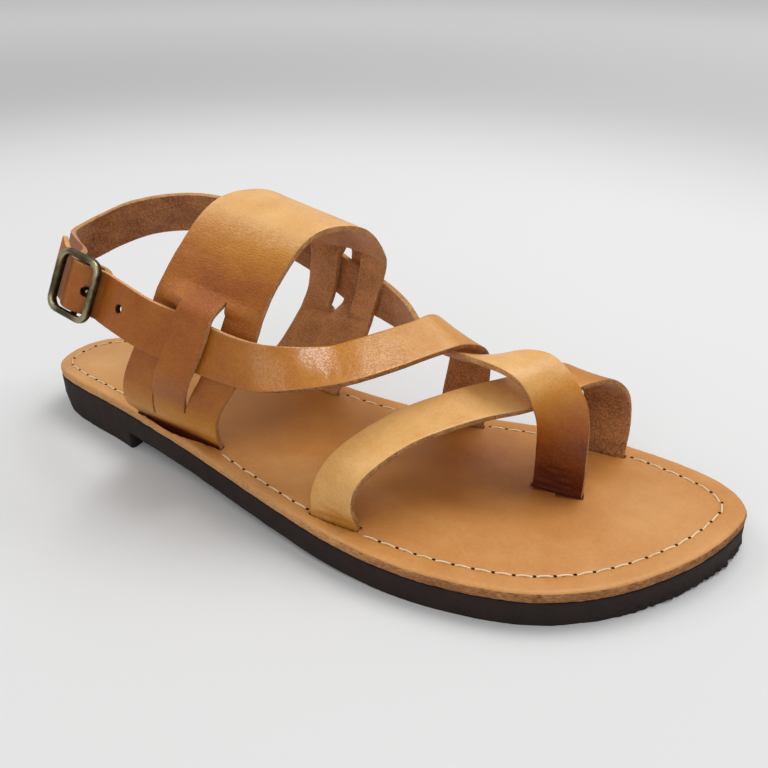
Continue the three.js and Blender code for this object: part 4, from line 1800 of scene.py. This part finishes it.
@dataclass
class Sole:
    """Outsole, heel and stitched footbed.

    The insets of the stitches are pairs of a place along the sole and a distance from its
    outer or inner side. The outsole's profile is pairs of an inset and a height. The footbed's
    side is rough in pairs of a size and a depth, and its rim fades between two places.
    """

    wardrobe: Wardrobe
    form: SoleForm = field(default_factory=SoleForm)
    bed_thickness: float = 4.0
    gap: float = 0.3
    groove_depth: float = 0.35
    groove_width: float = 0.75
    groove_shade_width: float = 0.9
    groove_shade: float = 0.55
    unevenness: float = 0.12
    uneven_size: float = 26.0
    side_rough: Sequence[tuple] = ((1.1, 0.14), (4.5, 0.16))
    edge_width: float = 3.0
    edge_tone: float = 0.1
    rim_heel: float = 0.8
    rim_fade: float = 0.4
    rim_fades: tuple = (90, 160)
    slot_margin: float = 0.3
    slot_below: float = 14.0
    slot_steps: Sequence[float] = (0, 2, 4, 7, 11)
    slot_points: int = 13
    slot_span: tuple = (-0.06, 1.06)
    slot_samples: int = 12
    stitch_clearance: float = 4.2
    stitch_sink: float = 0.12
    outer_inset: Sequence[tuple] = ((-32, 5.0), (100, 4.6), (140, 7.6), (241, 7.8))
    inner_inset: Sequence[tuple] = ((-32, 5.0), (20, 6.0), (180, 6.6), (241, 7.8))
    inset_rounds: int = 30
    shortest_row: int = 6
    bed_tone: float = 0.62
    # The darker patches under the cuff and by the straps are partly painted shade.
    burnished: Sequence[BurnishAndShade] = (
        BurnishAndShade(70, 0, 30, 22, 0.24),
        BurnishAndShade(105, 12, 30, 10, 0.04),
        BurnishAndShade(148, 2, 18, 20, 0.44),
        BurnishAndShade(176, -6, 16, 10, 0.34),
        BurnishAndShade(190, 14, 14, 8, 0.16),
        BurnishAndShade(120, -35, 34, 10, -0.12),
        BurnishAndShade(205, -5, 26, 22, -0.14),
        BurnishAndShade(-8, 0, 30, 22, -0.34),
        BurnishAndShade(150, -24, 34, 7, 0.14),
    )
    sole_profile: Sequence[tuple] = (
        *((0, high) for high in (0.0, 0.35, 1.0, 1.8, 2.6, 3.5, 4.4, 5.3, 6.2, 7.0)),
        (0.02, 7.7),
        (0.12, 8.05),
        (0.3, 8.2),
    )
    crumb_start: float = 196.0
    crumb_blend: float = 26.0
    crumb_size: float = 1.6
    crumb_depth: float = 1.5
    heel_lean: float = 2.5
    heel_heights: Sequence[float] = (0.0, 0.25, 0.7, 1.5, 2.5, 3.5, 4.5, 5.5, 6.5)
    heel_insets: Sequence[float] = (0.5, 0.15)
    breast_points: int = 40

    def stitch_path(self) -> np.ndarray:
        """Leads the line of the stitches round the footbed.

        Returns:
            The points of the closed line.
        """
        x = self.form.ring[:, 0]
        outer, inner = (np.interp(x, *zip(*inset)) for inset in (self.outer_inset, self.inner_inset))
        inset = np.where(np.arange(self.form.count) < self.form.half_count, outer, inner)
        for _ in range(self.inset_rounds):
            inset = (np.roll(inset, 1) + inset + np.roll(inset, -1)) / 3
        return self.form.loop(inset, self.bed_thickness)

    def slot_tool(self, strap: Strap, at_end: bool, gape: float) -> np.ndarray:
        """Shapes the tool for one slot.

        Args:
            strap: the strap whose end stands in the slot.
            at_end: whether it is the strap's second end.
            gape: how far the slot gapes on the strap's grain side.

        Returns:
            Closed rows of points: one well below the strap's end, then up along the strap.
        """
        shares = np.linspace(0, 1, self.slot_points)
        s = np.array([self.slot_steps[0], *self.slot_steps], float)
        s = strap.ribbon.length - s if at_end else s
        point, normal = strap.ribbon.surface(s, np.tile(shares, (len(s), 1)))
        point[0, :, 2] -= self.slot_below
        across = unit(point[:, -1] - point[:, 0])[:, None]
        ends = np.zeros(self.slot_points)
        ends[0], ends[-1] = -1, 1
        point = point + across * (ends * self.slot_margin)[None, :, None]
        half = strap.thickness / 2 + self.slot_margin
        front = point + normal * (half + gape * np.sin(math.pi * shares) ** 2)[None, :, None]
        return np.concatenate([front, (point - normal * half)[:, ::-1]], 1)

    def cut_slots(self, bed: bpy.types.Object, upper: Upper) -> None:
        """Cuts the slots of all strap ends into the footbed.

        Args:
            bed: the footbed.
            upper: the straps.
        """
        tools, faces = [], []
        for strap, at_end, gape in (
            (upper.cuff, False, 2.0),
            (upper.cuff, True, 0.3),
            (upper.ball, False, 0.5),
            (upper.ball, True, 0.3),
            (upper.lateral, True, 0.3),
            (upper.medial, False, 0.3),
        ):
            rows = self.slot_tool(strap, at_end, gape)
            faces.extend(tube(*rows.shape[:2], first=sum(map(len, tools))))
            tools.append(rows.reshape(-1, 3))
        # The slots' walls take the near black finish: painted shade inside the slots.
        cutter = make_mesh_object("slots", np.concatenate(tools), faces, [self.wardrobe.hole_shade])
        face_outwards(cutter)
        carve(bed, cutter)

    def build_footbed(self, upper: Upper) -> None:
        """Builds the footbed with its groove, slots, wear and stitches.

        Args:
            upper: the straps, whose ends stand in its slots.
        """
        path = self.stitch_path()
        top = self.bed_thickness
        profile = [
            (0.35, self.gap),
            (0.1, self.gap + 0.5),
            (0.0, 1.5),
            (0.0, 2.4),
            (0.08, top - 1.0),
            (0.35, top - 0.5),
            (0.8, top - 0.14),
            (1.5, top),
        ]

        def shift(points: np.ndarray, outward: np.ndarray) -> np.ndarray:
            """Roughens the trimmed side and sinks the groove of the stitches.

            Args:
                points: the layer's points.
                outward: their outward directions.

            Returns:
                The moved points.
            """
            rough = sum(ripple(points, size) * depth for size, depth in self.side_rough)
            moved = points + outward * (rough * (outward[:, 2] == 0))[:, None]
            flat = np.flatnonzero(outward[:, 2] > 0)
            near = distance_to(path[::2], points[flat])
            moved[flat, 2] -= self.groove_depth * np.exp(-((near / self.groove_width) ** 2))
            moved[flat, 2] += ripple(points[flat], self.uneven_size) * self.unevenness
            return moved

        materials = [self.wardrobe.footbed, self.wardrobe.raw_edge, self.wardrobe.flesh]
        bed = Layer(self.form, profile).build("footbed_leather", materials, shift)
        places = np.array([vertex.co for vertex in bed.data.vertices]) / MM
        edge = np.exp(-((distance_to(self.form.ring[::3], places) / self.edge_width) ** 2))
        tone_and_light = self.bed_tone - sum(patch.shade(places) for patch in self.burnished)
        set_attribute(bed, "tone_and_light", tone_and_light + self.edge_tone * edge)
        # Painted shade along the stitch groove.
        dirt_and_shade = np.exp(-((distance_to(path[::3], places) / self.groove_shade_width) ** 2))
        set_attribute(bed, "crease", self.groove_shade * dirt_and_shade)
        start, end = self.rim_fades
        faded = smooth((places[:, 0] - start) / (end - start))
        set_attribute(bed, "rim", self.rim_heel - self.rim_fade * faded)
        self.cut_slots(bed, upper)
        hand_in(bed, Slot.FOOTBED, "footbed")
        hand_in(self.sew(path, upper), Slot.THREAD)

    def sew(self, path: np.ndarray, upper: Upper) -> bpy.types.Object:
        """Sews round the footbed, and skips the slots along its sides.

        Args:
            path: the closed line of the stitches.
            upper: the straps, whose ends stand in the slots.

        Returns:
            The stitches.
        """
        ends = []
        for strap, row in (
            (upper.cuff, 0),
            (upper.cuff, -1),
            (upper.ball, 0),
            (upper.ball, -1),
            (upper.lateral, -1),
        ):
            a, b = strap.ribbon.upper[row], strap.ribbon.lower[row]
            ends.append(a + (b - a) * np.linspace(*self.slot_span, self.slot_samples)[:, None])
        clear = distance_to(np.concatenate(ends), path) > self.stitch_clearance
        start = int(np.argmin(clear))
        clear, path = np.roll(clear, -start), np.roll(path, -start, axis=0)
        breaks = np.flatnonzero(np.diff(clear.astype(int))) + 1
        parts = [part for part in np.split(np.arange(len(path)), breaks) if clear[part[0]]]
        parts = [part for part in parts if len(part) > self.shortest_row]
        paths = [path[part] - [0, 0, self.stitch_sink] for part in parts]
        facings = [np.tile([0.0, 0.0, 1.0], (len(part), 1)) for part in paths]
        return Stitches().sew("footbed_stitches", paths, facings, self.wardrobe)

    @staticmethod
    def trim(points: np.ndarray) -> np.ndarray:
        """How unevenly the rubber's side is trimmed at each point."""
        return ripple(points, 1.3) * 0.12 + ripple(points * [1, 1, 0.3], 7) * 0.2

    def build_outsole(self) -> None:
        """Builds the rubber outsole, crumbling under the toes."""
        profile = [(inset, high - self.form.thickness) for inset, high in self.sole_profile]

        def shift(points: np.ndarray, outward: np.ndarray) -> np.ndarray:
            """Trims the side unevenly and crumbles its lower edge at the toe.

            Args:
                points: the layer's points.
                outward: their outward directions.

            Returns:
                The moved points.
            """
            low = 1 - smooth((points[:, 2] - 1.0) / 4.5)
            toe = smooth((points[:, 0] - self.crumb_start) / self.crumb_blend)
            crumbs = np.abs(ripple(points, self.crumb_size))
            crumbs = crumbs + 0.6 * ripple(points, self.crumb_size / 2)
            rough = self.trim(points) + self.crumb_depth * crumbs * low * toe
            return points + outward * ((outward[:, 2] == 0) * rough)[:, None]

        materials = [self.wardrobe.rubber] * 3
        piece = Layer(self.form, profile).build("rubber_outsole", materials, shift)
        hand_in(piece, Slot.RUBBER, "outsole")

    def build_heel(self) -> None:
        """Builds the low heel: its back leans in towards the ground."""
        low, high = (np.array(corner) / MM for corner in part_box("heel"))
        top = self.form.base(np.array([0.0]))[0] - self.form.thickness
        half = self.form.half_count
        back = self.form.ring[:, 0] < high[0] - 0.2
        order = np.concatenate([np.flatnonzero(back[:half]), half + np.flatnonzero(back[half:])])
        outer = np.count_nonzero(back[:half])
        loop, outward = self.form.ring[order, :2], -self.form.inward[order]
        breast = np.linspace(loop[outer - 1], loop[outer], self.breast_points + 2)[1:-1]
        breast[:, 0] = high[0]
        loop = np.concatenate([loop[:outer], breast, loop[outer:]])
        outward = np.concatenate([outward[:outer], 0 * breast, outward[outer:]])
        rows = []
        for height, inset in zip_longest((*self.heel_heights, top), self.heel_insets, fillvalue=0):
            lean = self.heel_lean * np.clip(loop[:, 0] / low[0], 0, 1) * (1 - height / top)
            row = np.column_stack([loop[:, 0] + lean, loop[:, 1], np.full(len(loop), height)])
            row[:, :2] += outward * (self.trim(row) - inset)[:, None]
            rows.append(row)
        faces = tube(len(rows), len(loop))
        points = np.concatenate(rows)
        piece = make_mesh_object("rubber_heel", points, faces, [self.wardrobe.rubber])
        piece.data.set_sharp_from_angle(angle=HEEL_TURN)
        hand_in(piece, Slot.RUBBER, "heel")

    def build(self, upper: Upper) -> None:
        """Builds the three layers.

        Args:
            upper: the straps.
        """
        self.build_outsole()
        self.build_heel()
        self.build_footbed(upper)


# ---------------------------------------------------------------- buckle


@dataclass
class Buckle:
    """The brass frame with its dropped centre bar, and the prong.

    Its own axes run along the strap, across it and out of it.
    """

    wardrobe: Wardrobe
    centre: tuple = (16, -38.1, 71.8)
    along: tuple = (0.97, -0.16, -0.17)
    outward: tuple = (-0.08, -0.92, 0.38)
    length: float = 20.0
    height: float = 23.6
    bar: float = 2.8
    corner: float = 5.2
    corner_points: int = 14
    frame_points: int = 160
    centre_radius: float = 1.0
    centre_drop: float = 3.6
    centre_root: float = 0.2
    centre_bend: float = 1.2
    prong_radius: float = 0.75
    prong: Sequence[tuple] = ((1.9, -3.9), (3.8, -3.6), (5.0, -1.7), (5.9, 0.1))
    prong_tip: float = 0.9
    eye_gap: float = 0.95
    eye_thickness: float = 0.55

    def __post_init__(self) -> None:
        """Squares the buckle's own axes."""
        along = unit(np.array(self.along))
        out = np.array(self.outward)
        out = unit(out - along * (out @ along))
        self.axes = np.stack([along, np.cross(out, along), out])

    @staticmethod
    def sweep(
        path: np.ndarray,
        side: Sequence[float],
        sizes: np.ndarray,
        ring: bool = False,
        power: float = 2.0,
        facets: int = 20,
    ) -> tuple[np.ndarray, list]:
        """Sweeps an oval section along a path.

        Args:
            path: the middle line.
            side: the direction of the section's first half size.
            sizes: the two half sizes at each point, or at all.
            ring: whether the path closes on itself.
            power: 2 for an oval, more for a squarer section.
            facets: points round the section.

        Returns:
            The points and the faces.
        """
        ahead = np.roll(path, -1, 0) - np.roll(path, 1, 0)
        if not ring:
            ahead[0], ahead[-1] = path[1] - path[0], path[-1] - path[-2]
        side = np.tile(np.array(side, float), (len(path), 1))
        rise = unit(np.cross(unit(ahead), side))
        sizes = np.broadcast_to(sizes, (len(path), 2))
        angles = np.arange(facets) * 2 * math.pi / facets
        squash = [np.sign(f) * np.abs(f) ** (2 / power) for f in (np.cos(angles), np.sin(angles))]
        rings = (
            path[:, None]
            + side[:, None] * (squash[0] * sizes[:, :1])[..., None]
            + rise[:, None] * (squash[1] * sizes[:, 1:])[..., None]
        )
        return rings.reshape(-1, 3), tube(len(path), facets, ring=ring)

    def frame_path(self) -> np.ndarray:
        """Leads a line through the middle of the frame's bars.

        Returns:
            The points of a rectangle with round corners.
        """
        inset = self.bar / 2
        radius = self.corner - inset
        reach = np.array([self.length, self.height]) / 2 - inset - radius
        arcs = []
        for quarter, corner in enumerate(((1, 1), (-1, 1), (-1, -1), (1, -1))):
            angles = (quarter + np.linspace(0, 1, self.corner_points)) * math.pi / 2
            arcs.append(reach * corner + radius * np.stack([np.cos(angles), np.sin(angles)], 1))
        loop = np.concatenate([*arcs, arcs[0][:1]])
        at = run_length(loop)
        where = np.linspace(0, at[-1], self.frame_points, endpoint=False)
        flat = [np.interp(where, at, loop[:, axis]) for axis in (0, 1)]
        return np.column_stack([*flat, np.zeros(self.frame_points)])

    def bar_path(self) -> np.ndarray:
        """Leads a line through the centre bar, which drops behind the frame at both ends.

        Returns:
            The points of the line.
        """
        post, bend, low = (self.height - self.bar) / 2, self.centre_bend, -self.centre_drop
        eased = 0.35 * bend
        half = np.array([
            (0, post, self.centre_root),
            (0, post, low + bend),
            (0, post - eased, low + eased),
            (0, post - bend, low),
        ])
        return np.concatenate([half, [(0, 0, low)], half[::-1] * [1, -1, 1]])

    def build_frame(self) -> None:
        """Builds the frame and its centre bar as one piece."""
        path = self.frame_path()
        rear = smooth((-path[:, 0] - 4) / 4)
        sizes = np.column_stack([self.bar / 2 + 0.15 * rear, self.bar / 2 - 0.25 + 0.1 * rear])
        rim = self.sweep(path, (0, 0, 1), sizes, True, 2.6, 24)
        bar = self.sweep(self.bar_path(), (1, 0, 0), np.full(2, self.centre_radius))

        def wear(local: np.ndarray) -> np.ndarray:
            """Rubs the front bright, most at the ends of the bars.

            Args:
                local: points in the buckle's own axes.

            Returns:
                The wear from 0 to 1.
            """
            front = smooth((local[:, 2] - 0.2) / 1.2)
            aside = (np.abs(local[:, :2]) - [8, 9]) / 3
            corner = np.exp(-(aside[:, 0] ** 2) - aside[:, 1] ** 2)
            return np.clip(0.45 * front + 0.75 * front * corner + 0.25 * (local[:, 0] > 6), 0, 1)

        self.cast("brass_frame", "buckle_frame", (rim, bar), wear)

    def build_prong(self) -> None:
        """Builds the prong: a tapering pin and an eye round the centre bar."""
        pin = np.array([(along, 0.0, out) for along, out in self.prong])
        at = run_length(pin)
        where = np.linspace(0, at[-1], 16)
        line, _ = follow(pin, at, where)
        tip = np.clip((where - at[-1]) / self.prong_tip + 1, 0, 1)
        radius = self.prong_radius * np.sqrt(1 - (0.96 * tip) ** 2)
        shaft = self.sweep(line, (0, 1, 0), np.column_stack([radius, radius]))
        eye_radius = self.centre_radius + self.eye_gap
        angles = np.radians(np.linspace(20, 340, 26))
        across, out = eye_radius * np.cos(angles), eye_radius * np.sin(angles) - self.centre_drop
        turns = np.column_stack([across, 0 * angles, out])
        eye = self.sweep(turns, (0, 1, 0), np.array([self.prong_radius, self.eye_thickness]))

        def wear(local: np.ndarray) -> np.ndarray:
            """Bright towards the point."""
            return 0.55 + 0.45 * smooth((local[:, 2] + 1) / 1.5)

        self.cast("brass_prong", "buckle_prong", (shaft, eye), wear)

    def cast(
        self,
        name: str,
        node: str,
        parts: Sequence[tuple],
        wear: Callable[[np.ndarray], np.ndarray],
    ) -> None:
        """Joins swept parts into one brass piece and hands it in.

        Args:
            name: the piece's name.
            node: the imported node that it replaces.
            parts: the points and the faces of each part, in the buckle's own axes.
            wear: how bright the brass is rubbed at each point.
        """
        firsts = np.cumsum([0, *(len(points) for points, _ in parts)])
        faces = [
            tuple(first + index for index in face)
            for first, (_, part_faces) in zip(firsts, parts)
            for face in part_faces
        ]
        local = np.concatenate([points for points, _ in parts])
        places = local @ self.axes + np.array(self.centre)
        piece = make_mesh_object(name, places, faces, [self.wardrobe.brass])
        set_attribute(piece, "wear", wear(local))
        face_outwards(piece)
        hand_in(piece, Slot.BRASS, node)

    def dress_chape(self) -> None:
        """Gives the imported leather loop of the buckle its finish."""
        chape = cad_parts["buckle_chape"]
        chape.data.materials.clear()
        chape.data.materials.append(self.wardrobe.cut)
        log.info("%s: dressed as it is packed", chape.name)

    def build(self) -> None:
        """Builds all its pieces."""
        self.build_frame()
        self.build_prong()
        self.dress_chape()


# ---------------------------------------------------------------- studio


@dataclass
class Studio:
    """Floor, soft light and camera.

    Places and sizes are in metres, turns in degrees, and lens and sensor in millimetres. Each
    of the lamps is a name, a place, a size and a power.
    """

    wardrobe: Wardrobe
    camera_place: tuple = (0.2217, -0.2419, 0.1829)
    pitch: float = 61.0
    heading: float = 23.9
    lens: float = 39.84
    sensor: float = 36.0
    nearest: float = 0.01
    floor_half: float = 6.0
    sky: tuple = (1.0, 1.0, 1.0)
    sky_strength: float = 0.57
    aim: tuple = (0.08, 0.0, 0.03)
    lamps: Sequence[tuple] = (
        ("key", (0.35, 0.5, 1.2), 0.8, 11.3),
        ("fill", (0.3, -1.1, 0.9), 1.2, 5.2),
        ("rear", (-0.62, 0.12, 0.95), 0.5, 1.7),
    )

    def build_floor(self) -> None:
        """Lays the floor on the ground plane."""
        corners = np.array([(-1, -1, 0), (1, -1, 0), (1, 1, 0), (-1, 1, 0)]) * self.floor_half / MM
        floor = make_mesh_object("studio_floor", corners, [(0, 1, 2, 3)], [self.wardrobe.floor])

    def build_light(self) -> None:
        """Hangs the soft lamps and lights the room."""
        scene = bpy.context.scene
        for name, place, size, power in self.lamps:
            light = bpy.data.lights.new(name, "AREA")
            light.shape = "SQUARE"
            light.size = size
            light.energy = power
            lamp = bpy.data.objects.new(name, light)
            lamp.location = place
            direction = Vector(self.aim) - Vector(place)
            lamp.rotation_euler = direction.to_track_quat("-Z", "Y").to_euler()
            scene.collection.objects.link(lamp)
        world = bpy.data.worlds.new("room")
        world.use_nodes = True
        background = world.node_tree.nodes["Background"]
        background.inputs["Color"].default_value = (*self.sky, 1.0)
        background.inputs["Strength"].default_value = self.sky_strength
        scene.world = world
        scene.view_settings.view_transform = "Standard"

    def build_camera(self) -> None:
        """Sets up the camera."""
        lens = bpy.data.cameras.new("camera")
        lens.lens = self.lens
        lens.sensor_width = self.sensor
        lens.clip_start = self.nearest
        camera = bpy.data.objects.new("camera", lens)
        camera.location = self.camera_place
        camera.rotation_euler = (math.radians(self.pitch), 0.0, math.radians(self.heading))
        bpy.context.scene.collection.objects.link(camera)
        bpy.context.scene.camera = camera

    def build(self) -> None:
        """Builds floor, light and camera."""
        self.build_floor()
        self.build_light()
        self.build_camera()


def main() -> None:
    """Builds the whole sandal in its studio."""
    logging.basicConfig(level=logging.INFO, format="%(name)s: %(message)s")
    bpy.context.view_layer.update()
    wardrobe = Wardrobe()
    Studio(wardrobe).build()
    upper = Upper(wardrobe)
    Sole(wardrobe).build(upper)
    upper.build()
    Buckle(wardrobe).build()


if __name__ == "__main__":
    main()
